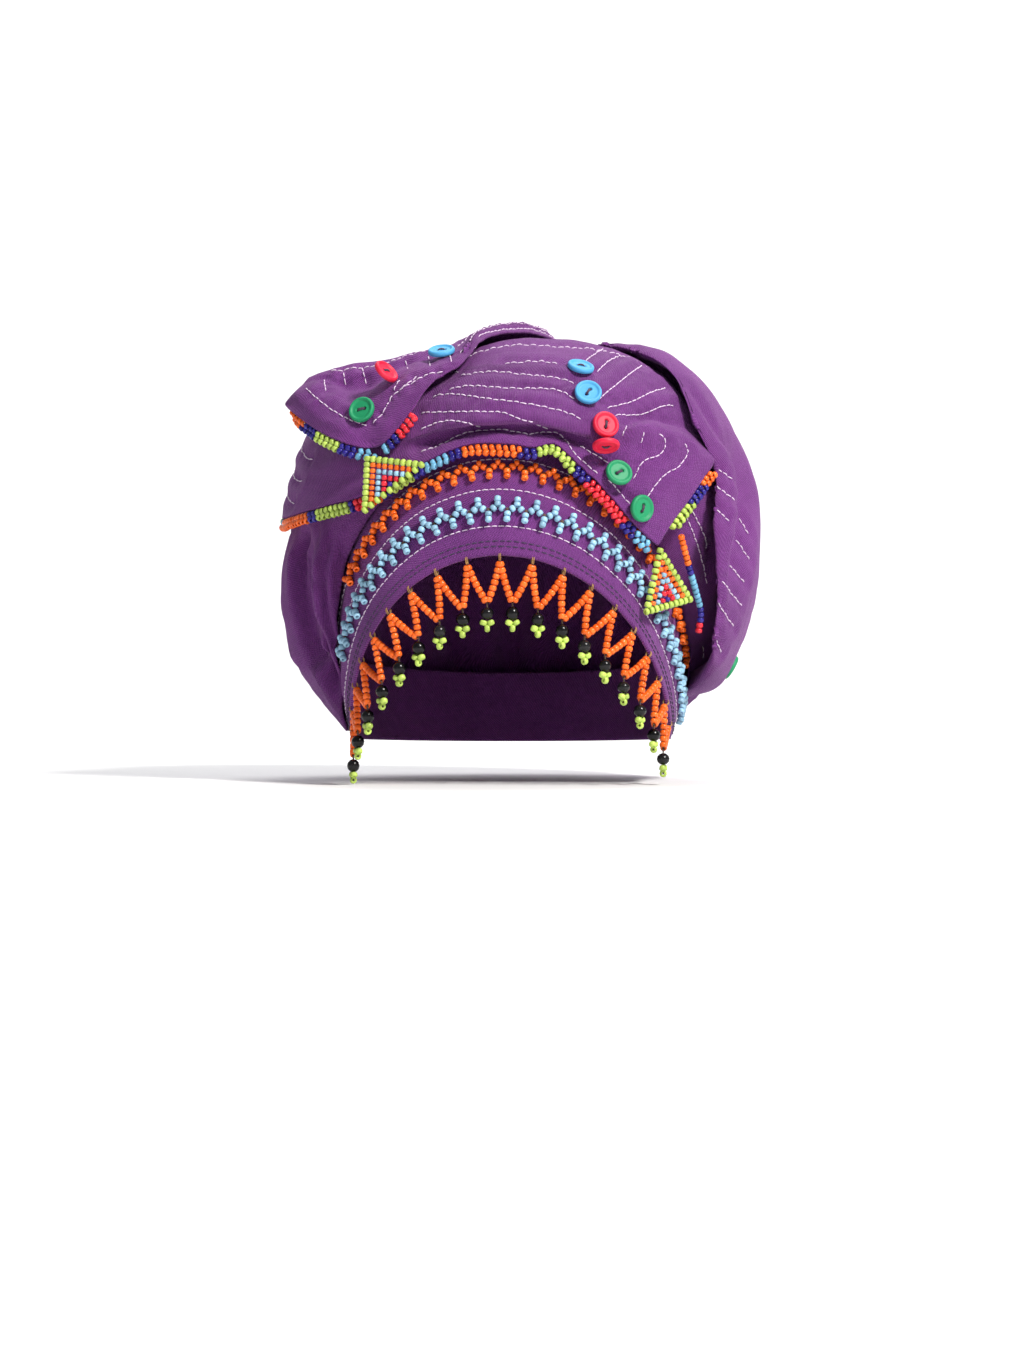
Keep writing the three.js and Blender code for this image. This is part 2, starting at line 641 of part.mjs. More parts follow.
// The bag: from its seam on the band over the crown to a gathered point at the back of the top.
function bagGrid(around, upwards) {
  const top = towards([crownTop.azimuth, crownTop.elevation]);
  const folds = [...bagFolds];
  for (let i = 0; i < backFolds.count; i += 1) {
    const azimuth = lerp(backFolds.first, backFolds.last, i / (backFolds.count - 1));
    const aside = azimuth - 180;
    folds.push({
      from: [180 + aside * backFolds.closing, backFolds.foot],
      via: [180 + aside * Math.sqrt(backFolds.closing), (backFolds.foot + backFolds.top) / 2],
      to: [azimuth, backFolds.top],
      width: backFolds.width,
      height: backFolds.height,
    });
  }
  const grid = [];
  for (let i = 0; i <= upwards; i += 1) {
    const rise = i / upwards;
    const line = [];
    for (let j = 0; j < around; j += 1) {
      const angle = (j / around) * 360;
      const seam = onBand(angle, tableValue(bagSeam, "angle", "place", angle), seamLift);
      const fromCentre = seam.clone().sub(crown.centre);
      const seamRadius = fromCentre.length();
      const start = fromCentre.normalize();
      const turn = new THREE.Quaternion().setFromUnitVectors(start, top);
      const direction = start.applyQuaternion(new THREE.Quaternion().slerp(turn, rise)).normalize();
      const tuck = Math.max(0, 1 - rise / seamTuck) ** 2;
      const plain = crownRadius(direction);
      const point = crown.centre.clone().addScaledVector(direction, plain);
      let height = 0;
      for (const fold of folds) height += foldHeight(fold, point);
      const fullness = Math.min(1, (rise / seamTuck) * 2);
      const radius = i === upwards ? crownRadius(top) : lerp(plain + height * fullness, seamRadius, tuck);
      line.push(crown.centre.clone().addScaledVector(direction, radius));
    }
    grid.push(line);
  }
  return grid;
}

// A strip swept along points with its face turned to the normals. Each width may differ, which draws teeth.
function sweptStrip(points, normals, widths, thickness, lift) {
  const solid = new SolidBuilder();
  const sections = points.map((point, i) => {
    const before = points[Math.max(i - 1, 0)];
    const after = points[Math.min(i + 1, points.length - 1)];
    const along = after.clone().sub(before).normalize();
    const normal = normals[i].clone().addScaledVector(along, -normals[i].dot(along)).normalize();
    const side = along.clone().cross(normal).normalize();
    const [low, high] = widths[i];
    const corner = (across, out) =>
      point.clone().addScaledVector(side, across).addScaledVector(normal, lift + out);
    return [corner(low, 0), corner(high, 0), corner(high, thickness), corner(low, thickness)];
  });
  for (let i = 0; i < sections.length - 1; i += 1) {
    for (let k = 0; k < 4; k += 1) {
      const next = (k + 1) % 4;
      solid.quad(sections[i][k], sections[i][next], sections[i + 1][next], sections[i + 1][k]);
    }
  }
  const first = sections[0];
  const last = sections[sections.length - 1];
  solid.quad(first[3], first[2], first[1], first[0]);
  solid.quad(last[0], last[1], last[2], last[3]);
  return solid.geometry();
}

function bandNormal(angle, place) {
  const along = onBand(angle + 1, place).sub(onBand(angle - 1, place));
  const rise = onBand(angle, Math.min(place + 0.1, 1.4)).sub(onBand(angle, Math.max(place - 0.1, 0)));
  const normal = along.cross(rise).normalize();
  const outward = onBand(angle, place).sub(crown.centre);
  return normal.dot(outward) < 0 ? normal.negate() : normal;
}

// A zigzag bead row on the band, as a strip with one tooth towards the hem for each pitch.
function toothedRow({ place, firstAngle, lastAngle }) {
  const line = [];
  for (let angle = firstAngle; angle <= lastAngle; angle += 1) line.push(onBand(angle, place));
  const length = curveThrough(line).getLength();
  const teeth = Math.round(length / beadRow.pitch);
  const points = [];
  const normals = [];
  const widths = [];
  for (let i = 0; i <= teeth * 2; i += 1) {
    const angle = lerp(firstAngle, lastAngle, i / (teeth * 2));
    points.push(onBand(angle, place));
    normals.push(bandNormal(angle, place));
    const half = beadRow.width / 2;
    widths.push(i % 2 ? [-half, half] : [half - beadRow.narrow, half]);
  }
  return sweptStrip(points, normals, widths, beadRow.thickness, layerGap);
}

// A bead trim beside an edge of a sheet, lying just outside the cloth.
function edgeTrim(edge, inside, normals) {
  const half = trim.width / 2;
  const points = edge.map((point, i) => {
    const outward = point.clone().sub(inside[i]);
    outward.addScaledVector(normals[i], -outward.dot(normals[i])).normalize();
    const middle = point.clone().addScaledVector(outward, half + trim.gap);
    return middle.addScaledVector(normals[i], -(trim.thickness + clothThickness) / 2);
  });
  return sweptStrip(points, normals, points.map(() => [-half, half]), trim.thickness, 0);
}

// A loose strand of beads along its stations, as a square bar.
function beadStrand({ diameter, steps, stations }) {
  const line = curveThrough(stations.map(overCrown)).getSpacedPoints(steps);
  const facing = line.map((point) => point.clone().sub(crown.centre).normalize());
  const half = diameter / 2;
  return sweptStrip(line, facing, line.map(() => [-half, half]), diameter, -half);
}

// A flat triangle of beadwork with its three corners given over the crown.
function beadTriangle(shape) {
  const corners = [shape.apex, shape.side, shape.foot].map(overCrown);
  const [apex, side, foot] = corners;
  const normal = side.clone().sub(apex).cross(foot.clone().sub(apex)).normalize();
  if (normal.dot(apex.clone().sub(crown.centre)) < 0) normal.negate();
  const back = corners.map((corner) => corner.clone().addScaledVector(normal, -shape.thickness));
  const solid = new SolidBuilder();
  solid.face(corners[0], corners[1], corners[2]);
  solid.face(back[2], back[1], back[0]);
  for (let k = 0; k < 3; k += 1) {
    const next = (k + 1) % 3;
    solid.quad(corners[next], corners[k], back[k], back[next]);
  }
  return solid.geometry();
}

function asSolid(geometry) {
  const position = geometry.getAttribute("position");
  return new wasm.Manifold(
    new wasm.Mesh({
      numProp: 3,
      vertProperties: new Float32Array(position.array),
      triVerts: new Uint32Array(geometry.index.array),
    }),
  );
}

function asGeometry(solid) {
  const mesh = solid.getMesh();
  const geometry = new THREE.BufferGeometry();
  geometry.setAttribute("position", new THREE.Float32BufferAttribute(mesh.vertProperties, 3));
  geometry.setIndex(new THREE.Uint32BufferAttribute(mesh.triVerts, 1));
  geometry.computeVertexNormals();
  return geometry;
}

// A solid of revolution about the vertical through a place, from [radius, height] pairs.
function turned(place, profile, sides) {
  const solid = new SolidBuilder();
  const at = (i, j) => {
    const [radius, height] = profile[i];
    const turn = (2 * Math.PI * (j % sides)) / sides;
    return new THREE.Vector3(Math.cos(turn) * radius, Math.sin(turn) * radius, height).add(place);
  };
  for (let i = 0; i < profile.length - 1; i += 1)
    for (let j = 0; j < sides; j += 1)
      solid.quad(at(i, j), at(i + 1, j), at(i + 1, j + 1), at(i, j + 1));
  return solid.geometry();
}

// What hangs at the foot of a vee: a thread, a round bead and a bead cluster, in one outline.
function fringeDrop(foot) {
  const bead = -fringe.roundBeadDrop;
  const cluster = -fringe.clusterDrop;
  const profile = [
    [0, fringe.ribbon / 2],
    [fringe.roundBead, bead],
    [fringe.thread, (bead + cluster) / 2],
    [fringe.cluster, cluster],
    [0, cluster - fringe.cluster],
  ];
  return turned(foot, profile, fringe.dropSides);
}

// Places along the hem where the fringe is caught, spaced evenly on both sides of the middle of the front.
function fringeStops() {
  const steps = 720;
  const line = [];
  for (let i = 0; i <= steps; i += 1) {
    const angle = lerp(fringe.searchFrom, fringe.searchTo, i / steps);
    const point = onBand(angle, 0);
    const before = line[i - 1];
    const length = before ? before.length + point.distanceTo(before.point) : 0;
    line.push({ angle, point, length });
  }
  const middle = tableValue(line, "angle", "length", 90);
  const stops = [];
  for (let i = 0; i < fringe.stopsAcross; i += 1) {
    const length = middle + (i - (fringe.stopsAcross - 1) / 2) * fringe.stopPitch;
    stops.push(tableValue(line, "length", "angle", length));
  }
  return stops;
}

// The whole fringe as one body: a thread header under the hem, a zigzag of bead strands between the stops,
// and a round bead and cluster at the foot of each vee. The zigzag is a ribbon that stands tall enough for
// its slopes to be one strand thick.
function beadFringe() {
  const drop = fringe.header / 2 + layerGap * 4;
  const stops = fringeStops().map((angle) => {
    const hem = onBand(angle, 0);
    const outOfHem = hem.clone().sub(onBand(angle, 0.1)).normalize();
    const outward = bandNormal(angle, 0);
    return hem.addScaledVector(outOfHem, drop).addScaledVector(outward, -clothThickness / 2);
  });
  const zigzag = [];
  const feet = [];
  for (let i = 0; i < stops.length - 1; i += 1) {
    const across = stops[i + 1].clone().sub(stops[i]).normalize();
    const hanging = up.clone().negate().addScaledVector(across, across.z).normalize();
    hanging.lerp(up.clone().negate(), fringe.plumb).normalize();
    const foot = stops[i].clone().lerp(stops[i + 1], 0.5).addScaledVector(hanging, fringe.depth);
    feet.push(foot);
    zigzag.push(stops[i].clone().addScaledVector(hanging, fringe.ribbon / 2), foot);
  }
  zigzag.push(stops[stops.length - 1]);
  const outOf = (point) => point.clone().sub(crown.centre).setZ(0).normalize();
  const strip = (points, height, thickness) => {
    const widths = points.map(() => [-height / 2, height / 2]);
    return sweptStrip(points, points.map(outOf), widths, thickness, -thickness / 2);
  };
  let whole = asSolid(strip(stops, fringe.header, fringe.header));
  whole = whole.add(asSolid(strip(zigzag, fringe.ribbon, fringe.strand)));
  for (const foot of feet) whole = whole.add(asSolid(fringeDrop(foot)));
  return asGeometry(whole.simplify(fringe.smoothing));
}

// A button with a raised rim and a shallow dish; its back rests on the plane z = 0.
function buttonGeometry() {
  const dishHeight = button.thickness - button.dish;
  const profile = [
    [0, 0],
    [button.radius, 0],
    [button.radius, button.thickness - button.bevel],
    [button.radius - button.rim, button.thickness],
    [button.radius - button.rim * 2, dishHeight],
    [0, dishHeight],
  ];
  return turned(new THREE.Vector3(), profile, button.sides);
}

// The seat of a button: the grid point nearest to its direction, and how far its rim must stand off the
// cloth.
function placeButton(entry, grid, normals) {
  const wanted = towards(entry.at);
  let best = -Infinity;
  let seat = null;
  let facing = null;
  for (let i = 0; i < grid.length; i += 1)
    for (let j = 0; j < grid[i].length; j += 1) {
      const direction = grid[i][j].clone().sub(crown.centre);
      const height = direction.length();
      const match = direction.normalize().dot(wanted) + height * 1e-5;
      if (match > best) {
        best = match;
        seat = grid[i][j];
        facing = normals[i][j];
      }
    }
  const sideways = up.clone().cross(facing).normalize();
  const upright = facing.clone().cross(sideways).normalize();
  const [nod, turn] = entry.tip ?? [0, 0];
  const tipped = facing.clone().applyAxisAngle(sideways, radians(nod)).applyAxisAngle(upright, radians(turn));
  const normal = entry.facing ? new THREE.Vector3(...entry.facing).normalize() : tipped;
  const mesh = addPiece(entry.name, buttonGeometry(), materials[entry.colour]);
  mesh.quaternion.setFromUnitVectors(up, normal);
  let clear = 0;
  for (const line of grid)
    for (const point of line) {
      const offset = point.clone().sub(seat);
      const rise = offset.dot(normal);
      const aside = offset.addScaledVector(normal, -rise).length();
      if (aside < button.radius + button.reach) clear = Math.max(clear, rise);
    }
  const most = entry.mostClear ?? button.mostClear;
  mesh.position.copy(seat).addScaledVector(normal, Math.min(clear, most) + button.seat);
}

const bandLines = bandSections.places.map((place) => {
  const line = [];
  for (let j = 0; j < bandSections.around; j += 1) line.push(onBand((j / bandSections.around) * 360, place));
  return line;
});
addPiece("brim_band", clothWall(bandLines, true), materials.cotton);
addPiece("crown_bag", clothWall(bagGrid(bagSections.around, bagSections.upwards), true), materials.cotton);

const sheets = {};
for (const { name, rows, across, along, byStation } of sheetSections)
  sheets[name] = sheetGrid(rows, across, along, byStation);
const sheetNormals = {};
for (const [name, grid] of Object.entries(sheets)) {
  sheetNormals[name] = gridNormals(grid, false);
  addPiece(name, clothWall(grid), materials.cotton);
}

for (const row of beadRows) addPiece(row.name, toothedRow(row), materials[row.colour]);
addPiece("left_bead_triangle", beadTriangle(leftTriangle), materials.mixedBeads);
addPiece("right_bead_triangle", beadTriangle(rightTriangle), materials.mixedBeads);
addPiece("bead_fringe", beadFringe(), materials.orange);
addPiece("hanging_strand", beadStrand(hangingStrand), materials.mixedBeads);
for (const entry of trims) {
  const grid = sheets[entry.on];
  const normals = sheetNormals[entry.on];
  const end = grid[0].length - 1;
  const pick = (lines, inset) =>
    entry.edge === "lower" ? lines[inset] : lines.map((line) => line[end - inset]);
  const part = (lines, inset) => pick(lines, inset).slice(entry.first, entry.last + 1);
  addPiece(entry.name, edgeTrim(part(grid, 0), part(grid, 1), part(normals, 0)), materials.mixedBeads);
}
for (const entry of buttons) placeButton(entry, sheets[entry.on], sheetNormals[entry.on]);

export default product;
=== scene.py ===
import math
import bpy
import numpy as np
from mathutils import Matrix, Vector
from mathutils.bvhtree import BVHTree


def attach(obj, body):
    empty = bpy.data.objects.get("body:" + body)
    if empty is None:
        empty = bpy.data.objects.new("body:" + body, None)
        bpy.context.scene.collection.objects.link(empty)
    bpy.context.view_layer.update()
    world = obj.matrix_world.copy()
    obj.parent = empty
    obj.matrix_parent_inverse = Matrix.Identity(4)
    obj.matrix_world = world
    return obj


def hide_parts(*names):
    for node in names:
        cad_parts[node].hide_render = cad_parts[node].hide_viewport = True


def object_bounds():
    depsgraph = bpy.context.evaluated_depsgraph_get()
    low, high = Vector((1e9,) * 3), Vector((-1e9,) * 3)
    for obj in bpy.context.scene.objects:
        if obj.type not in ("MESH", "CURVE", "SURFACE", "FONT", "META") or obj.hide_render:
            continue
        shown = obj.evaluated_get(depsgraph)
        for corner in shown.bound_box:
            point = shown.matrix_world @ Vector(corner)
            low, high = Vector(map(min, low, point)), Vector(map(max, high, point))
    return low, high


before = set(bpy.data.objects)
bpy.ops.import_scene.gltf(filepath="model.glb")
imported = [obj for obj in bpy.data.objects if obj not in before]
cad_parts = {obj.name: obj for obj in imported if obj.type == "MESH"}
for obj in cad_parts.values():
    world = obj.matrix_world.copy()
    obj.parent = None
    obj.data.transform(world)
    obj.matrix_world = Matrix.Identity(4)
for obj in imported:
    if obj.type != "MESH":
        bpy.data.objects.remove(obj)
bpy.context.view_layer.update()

# Shapes are worked out in millimetres and become metres in addMesh
mm = 0.001
seeded = np.random.default_rng(17)

# The soft rounded body that the cloths lie on
crown = {
    "centre": np.array([2.0, 22.0, 12.0]),
    "halfWidth": 118.0,
    "front": 104.0,
    "back": 113.0,
    "up": 98.0,
    "down": 125.0,
    "sidePower": 2.5,
    "topAzimuth": 180.0,
    "topElevation": 75.0,
}

# Each station is azimuth from the front, elevation and height over the crown
frontClothRows = [
    [  # bead edge
        (-104, 9, 3.5), (-90, 6, 5), (-77, 5, 5.5), (-65, 6, 5.5), (-54, 7.5, 4.5),
        (-39.5, 10.5, 4), (-24.5, 18.2, 4), (-12.8, 22.7, 4.5), (-0.5, 22.7, 4.5), (4.6, 22, 4),
        (10.5, 22.8, 4.5), (16.5, 18, 4.5), (25, 9.6, 4), (32.4, 1.6, 4), (38.5, -3.2, 5),
    ],
    [  # lower stitch
        (-104, 14, 3), (-90, 12, 4), (-72.5, 8.5, 4), (-55, 12.5, 3.5), (-40, 16.5, 3.5),
        (-27, 21, 3.5), (-16, 25.5, 3.5), (-3, 27, 3.5), (8.5, 26.5, 3.5), (16, 21, 4),
        (22.5, 15, 4.5), (31.5, 8.5, 5), (38.5, 4.2, 6), (43, 3.2, 6),
    ],
    [  # valley under the puff
        (-101, 20, 3), (-88, 17, 3.5), (-70.5, 13.5, 3.5), (-54.5, 18, 3.5), (-39, 20.5, 3.5),
        (-27.5, 23.5, 3), (-16.5, 27.5, 2.5), (-1, 28.5, 2.5), (8.5, 28, 2.5), (17, 25, 3),
        (23.5, 21, 4), (32.5, 14.5, 5.5), (40.5, 11, 7), (48.2, 8.6, 7),
    ],
    [  # lip of the puff
        (-97, 26, 3), (-85, 22, 3.5), (-69, 18, 3.5), (-52, 22, 3.5), (-37, 24, 4), (-26, 25, 7),
        (-15, 26.5, 11), (-1, 27, 11.5), (8.5, 26, 11), (15.5, 24.5, 10), (24, 23, 9), (35, 21, 9),
        (44.5, 17.8, 9), (53, 13.6, 8.5),
    ],
    [  # belly of the puff
        (-89, 32, 3), (-78, 26, 3.5), (-64, 23, 3.5), (-50.5, 26.5, 3.5), (-36.5, 29.5, 4.5),
        (-27, 31, 8), (-15.5, 31.5, 12), (-5, 32, 12.5), (5, 31, 12.5), (16, 28.5, 12),
        (24.5, 27.5, 11), (36.5, 25, 11.5), (47, 22.5, 11), (57.5, 17.5, 9.5),
    ],
    [  # over the pleat
        (-76, 37, 3), (-66, 33, 3.5), (-57, 30, 3.5), (-48, 33, 3.5), (-36.5, 36, 4.5),
        (-25, 37.5, 8), (-15, 37, 12), (-3, 37, 12), (12.5, 35.5, 11), (22, 34, 8),
        (34, 32.5, 4.5), (44.5, 30.5, 3.5), (53, 28, 3.5), (60, 24, 4),
    ],
    [  # second stitch
        (-60, 42, 3.5), (-45.5, 38.5, 4), (-37.5, 40.5, 4.5), (-28, 42, 6), (-18.5, 42, 9),
        (-9, 42.5, 11), (2.5, 42, 11), (13.5, 40.5, 10.5), (22, 39, 9), (35, 39.5, 8), (50, 38, 6),
        (61, 32, 4.5),
    ],
    [  # first stitch
        (-38, 46, 3.5), (-23.5, 46.5, 5), (-17, 47, 6.5), (-10.5, 47, 9), (-4.5, 47.5, 10),
        (9, 47.5, 10), (22, 46.5, 9.5), (39, 48, 9), (54, 46, 7), (64, 39, 4.5),
    ],
    [  # crest
        (-28, 54, 3.5), (-16.5, 61.5, 7), (4, 66, 8.5), (35, 65, 8.5), (54, 60, 8), (65, 54, 6.5),
        (72, 46, 4),
    ],
    [  # over the top
        (-30, 77, 2.7), (48, 74, 5), (68, 68, 6.5), (75.5, 64.5, 6), (82.5, 56.5, 5),
        (84, 48, 3.5),
    ],
    [  # back slope
        (150, 78, 2.7), (110, 69, 4.5), (108.5, 62, 4.5), (106, 56, 3), (101, 47, 2.5),
    ],
    [  # back hem
        (150, 62, 2.7), (134, 55, 2.8), (129, 51.5, 2.8), (124, 46.5, 2.8), (117, 41, 2.8),
    ],
]
foldedCornerRows = [
    [  # bead edge
        (-65.5, 27, 26), (-59, 24.8, 22.5), (-52.2, 22.4, 19), (-45, 20.6, 14.5), (-40, 20.8, 8.5),
        (-36, 22.2, 9), (-33, 25.2, 10), (-29.4, 29.2, 12.3), (-26.6, 33.4, 14.7),
        (-23.2, 38, 15.7), (-18, 43, 14.5), (-15.5, 59.5, 12), (13.5, 77, 11), (129, 71.5, 8.5),
        (145, 60, 6), (151.5, 48.5, 4),
    ],
    [  # low panel
        (-65.5, 27.5, 28.5), (-58.5, 27, 26), (-53, 26, 21.5), (-46, 24, 16), (-41, 22.5, 10),
        (-36, 25.5, 11), (-34, 29.5, 12), (-30.5, 33, 14), (-27.5, 36, 15.5), (-23, 39.5, 16),
        (-19, 44.5, 15.5), (-17.5, 61.5, 13), (13, 79, 12.5), (131.5, 73.5, 10.5),
        (148.5, 61, 7.5), (154.5, 48.5, 4.5),
    ],
    [  # chevron stitch
        (-64.5, 29, 29), (-59, 30.5, 28.5), (-54, 29, 23.5), (-49, 27.5, 18), (-43, 26.5, 12),
        (-39.5, 28, 12), (-37, 32.5, 13.5), (-33, 36, 15.5), (-29, 38, 16.5), (-23.5, 41, 16),
        (-19.5, 46.5, 15.5), (-19, 64, 14.5), (16, 81, 14.5), (133.5, 75, 12.5), (152, 61.5, 10),
        (158, 48.5, 5),
    ],
    [  # top of the panel
        (-64.5, 31.5, 27.5), (-59.5, 33.5, 25), (-54.5, 32.5, 19.5), (-50, 31.5, 15.5),
        (-45.5, 32.5, 14), (-43, 36, 13.5), (-40.5, 40, 13.5), (-36.5, 43.5, 12.5), (-31, 46, 12),
        (-26, 47, 13), (-22, 50.5, 13.5), (-21.5, 67, 15), (21.5, 83, 16), (135.5, 76.5, 14),
        (156, 62, 12), (161, 48.5, 6),
    ],
    [  # valley
        (-65, 33, 26.5), (-61.5, 35.5, 22), (-58, 36, 14.5), (-54, 37, 9.5), (-50, 39, 8),
        (-47, 43, 8), (-43.5, 46, 8), (-40, 48.5, 8), (-35, 50.5, 8), (-31, 53, 9),
        (-27.5, 56.5, 10.5), (-26.5, 70, 13), (29.5, 85.5, 15.5), (139, 77, 16), (160, 62, 14),
        (164, 48.5, 6.5),
    ],
    [  # belly of the roll
        (-65.5, 34.5, 26), (-62, 38, 21.5), (-58, 40.5, 16.5), (-54.5, 42.5, 13.5),
        (-51, 44.5, 12.5), (-48, 47, 11.5), (-45, 49.5, 11), (-42.5, 52, 10.5), (-39.5, 55, 10),
        (-37, 59, 9.5), (-34.5, 63.5, 9.5), (-34, 75, 12.5), (63.5, 87.5, 16.5),
        (142.5, 77.5, 17.5), (163.5, 63.5, 15.5), (167, 48.5, 6.5),
    ],
    [  # crest of the roll
        (-66.5, 35.5, 25), (-64, 39.5, 20), (-61, 43.5, 15.5), (-58, 47, 12), (-55, 50, 9.5),
        (-52, 53, 8), (-49, 56.5, 7), (-46.5, 60, 6.5), (-44, 63.5, 6), (-43.5, 67.5, 6.5),
        (-42.5, 71.5, 8), (-46.5, 81.5, 11.5), (136.5, 86, 16), (148, 77, 17.5), (167.5, 63.5, 16),
        (170, 49, 6),
    ],
    [  # back of the roll
        (-70, 36, 19.5), (-68.5, 41, 14.5), (-66.5, 45, 10.5), (-64, 49, 8), (-62, 53, 6),
        (-60, 57, 4.5), (-58.5, 61, 3.5), (-58.5, 65, 3), (-60, 69, 3), (-64, 72.5, 3.5),
        (-70.5, 76.5, 4.5), (-107.5, 83.5, 7.5), (155.5, 81, 12), (161.5, 74.5, 13.5),
        (173.5, 63, 12), (174, 49, 4.5),
    ],
    [  # seat
        (-76, 35, 11.5), (-75, 40, 7), (-73.5, 45, 4), (-72, 50, 2.1), (-71, 54.5, 2.1),
        (-71, 59, 2.1), (-72, 63, 2.1), (-75, 67, 2.1), (-80, 70.5, 2.1), (-89, 73.5, 2.1),
        (-103, 75, 2.1), (-128, 75, 2.1), (-156, 74, 2.1), (-169, 68, 2.1), (-174, 58, 2.1),
        (-178, 48, 2.1),
    ],
]
sideRollRows = [
    [  # turned under
        (86, 65, 8), (80, 58, 7.5), (77, 49, 7.5), (72, 41, 7), (65, 34, 6.5), (64, 27, 6.5),
        (66, 21, 5), (67, 16, 3.5), (67.5, 9, 3), (67.5, 2, 3), (67.5, -7, 3), (67.5, -16, 3),
        (67, -23, 3), (74, -29.5, -2), (83, -37, -12.5),
    ],
    [  # lip
        (84, 66, 8.4), (76, 60, 9), (67.5, 50, 10), (62, 42, 10), (56.5, 34.5, 10), (54, 27, 10),
        (57, 21, 8), (59, 17, 7.5), (57.5, 10.5, 8), (56, 3, 8), (57, -6, 8), (58.5, -15, 8),
        (59.5, -23, 8), (63, -29.5, 6), (74, -40, -7),
    ],
    [  # inner roll
        (86, 67, 8.8), (78, 61, 10.5), (72, 51.5, 13), (67, 43, 13), (62.5, 35, 13),
        (60, 27, 12.5), (62.5, 21, 11.5), (65, 16.5, 11), (63.5, 10, 12), (61, 3, 12.5),
        (59.5, -6, 11), (60.5, -15, 10), (61, -23, 9), (65, -31.5, 6), (75, -41.5, -7.5),
    ],
    [  # crease
        (90, 67, 9), (83, 61, 12), (79, 52, 15), (76, 43.5, 13.5), (74, 35, 12), (73.5, 26, 10.5),
        (73, 19.5, 6), (71, 14.5, 4), (68.5, 8, 3.5), (65.5, 2, 3.5), (63, -6, 5),
        (62.5, -15, 9), (64, -23.5, 9.5), (68, -33, 5.5), (77, -42.5, -8),
    ],
    [  # outer roll
        (95, 66, 8.8), (92, 60, 12), (89, 51.5, 15), (87, 43.5, 13), (85, 35, 11), (84, 26, 9.5),
        (83, 18.5, 10.5), (81, 12, 11.5), (78, 5.5, 12), (75.5, -1.5, 12), (73.5, -9, 12),
        (73, -17, 10), (73, -24.5, 8.5), (75, -34.5, 4.5), (81, -43, -8),
    ],
    [  # back of the roll
        (101, 64, 8.4), (101, 58, 9), (99, 50.5, 10.5), (97.5, 43, 10), (97, 34.5, 9), (96, 26, 8),
        (95.5, 18, 7.5), (95, 10.5, 7.5), (94, 3, 7.5), (93, -4, 8), (91, -11.5, 8), (90, -19, 7),
        (89, -26, 5.5), (87, -35.5, 3.5), (87, -43, -8),
    ],
    [  # seat
        (107, 61, 8), (110, 55.5, 6.5), (109, 49, 5.5), (108.5, 42, 4), (108.5, 34, 3),
        (108.5, 25.5, 3), (108.5, 17, 3), (108.5, 9, 3), (108, 1.5, 3), (107.5, -5.5, 3),
        (107, -12.5, 3), (106, -20, 3), (104, -26, 3), (98, -35, 2.5), (94, -42, -7),
    ],
]

# The brim band's sizes at four places from hem (0) to back edge (1.4)
band = {
    "place": [0, 0.5, 1, 1.4],
    "width": [82, 87, 90, 92],
    "sideHeight": [-92, -78, -62, -48],
    "frontHeight": [0, 22, 43, 60],
    "frontDepth": [-90, -85, -75, -64],
    "sideDepth": [-12, 2, 18, 34],
    "backDepth": [80, 87, 93, 98],
    "backHeight": [-95, -83, -70, -58],
    "frontShift": -6,
    "roundness": 0.65,
}
bagSeam = {
    "angle": [0, 4, 35, 90, 150, 166, 180, 270, 335, 350, 360],
    "place": [0.9, 1.15, 1.25, 1.3, 1.25, 0.85, 0.15, 0.2, 0.3, 0.5, 0.9],
    "lift": 2.3,
    "tuck": 0.22,
}


def unit(vectors):
    length = np.linalg.norm(vectors, axis=-1, keepdims=True)
    return vectors / np.maximum(length, 1e-9)


def towards(azimuth, elevation):
    a, e = np.radians(azimuth), np.radians(elevation)
    return np.stack([np.sin(a) * np.cos(e), -np.cos(a) * np.cos(e), np.sin(e) + 0 * a], -1)


def crownRadius(direction):
    depth = np.where(direction[..., 1] < 0, crown["front"], crown["back"])
    height = np.where(direction[..., 2] < 0, crown["down"], crown["up"])
    power = crown["sidePower"]
    plan = (direction[..., 0] / crown["halfWidth"]) ** 2 + (direction[..., 1] / depth) ** 2
    side = np.abs(direction[..., 2] / height) ** power
    return (plan ** (power / 2) + side) ** (-1 / power)


def overCrown(stations):
    stations = np.asarray(stations, float)
    direction = towards(stations[..., 0], stations[..., 1])
    reach = crownRadius(direction) + stations[..., 2]
    return crown["centre"] + direction * reach[..., None]


# Evenly stepped points of a centripetal curve through points, or through several at once
def curvePoints(points, count):
    points = np.asarray(points, float)
    last = len(points) - 1
    place = np.linspace(0, 1, count) * last
    index = np.minimum(place.astype(int), last - 1)
    weight = (place - index).reshape((-1,) + (1,) * (points.ndim - 1))
    before, after = 2 * points[0] - points[1], 2 * points[-1] - points[-2]
    run = np.concatenate([before[None], points, after[None]])
    p0, p1, p2, p3 = (run[index + k] for k in range(4))
    d0, d1, d2 = (
        np.maximum(np.linalg.norm(b - a, axis=-1, keepdims=True), 1e-6) ** 0.5
        for a, b in ((p0, p1), (p1, p2), (p2, p3))
    )
    start = ((p1 - p0) / d0 - (p2 - p0) / (d0 + d1) + (p2 - p1) / d1) * d1
    end = ((p2 - p1) / d1 - (p3 - p1) / (d1 + d2) + (p3 - p2) / d2) * d1
    square, cube = weight**2, weight**3
    return (
        p1
        + start * weight
        + (3 * (p2 - p1) - 2 * start - end) * square
        + (2 * (p1 - p2) + start + end) * cube
    )


def lengthAlong(points):
    steps = np.linalg.norm(np.diff(points, axis=0), axis=-1)
    return np.concatenate([[0], np.cumsum(steps)])


# 1 at no distance, falling softly to 0 over the width
def bell(distance, width):
    return np.exp(-((distance / width) ** 2))


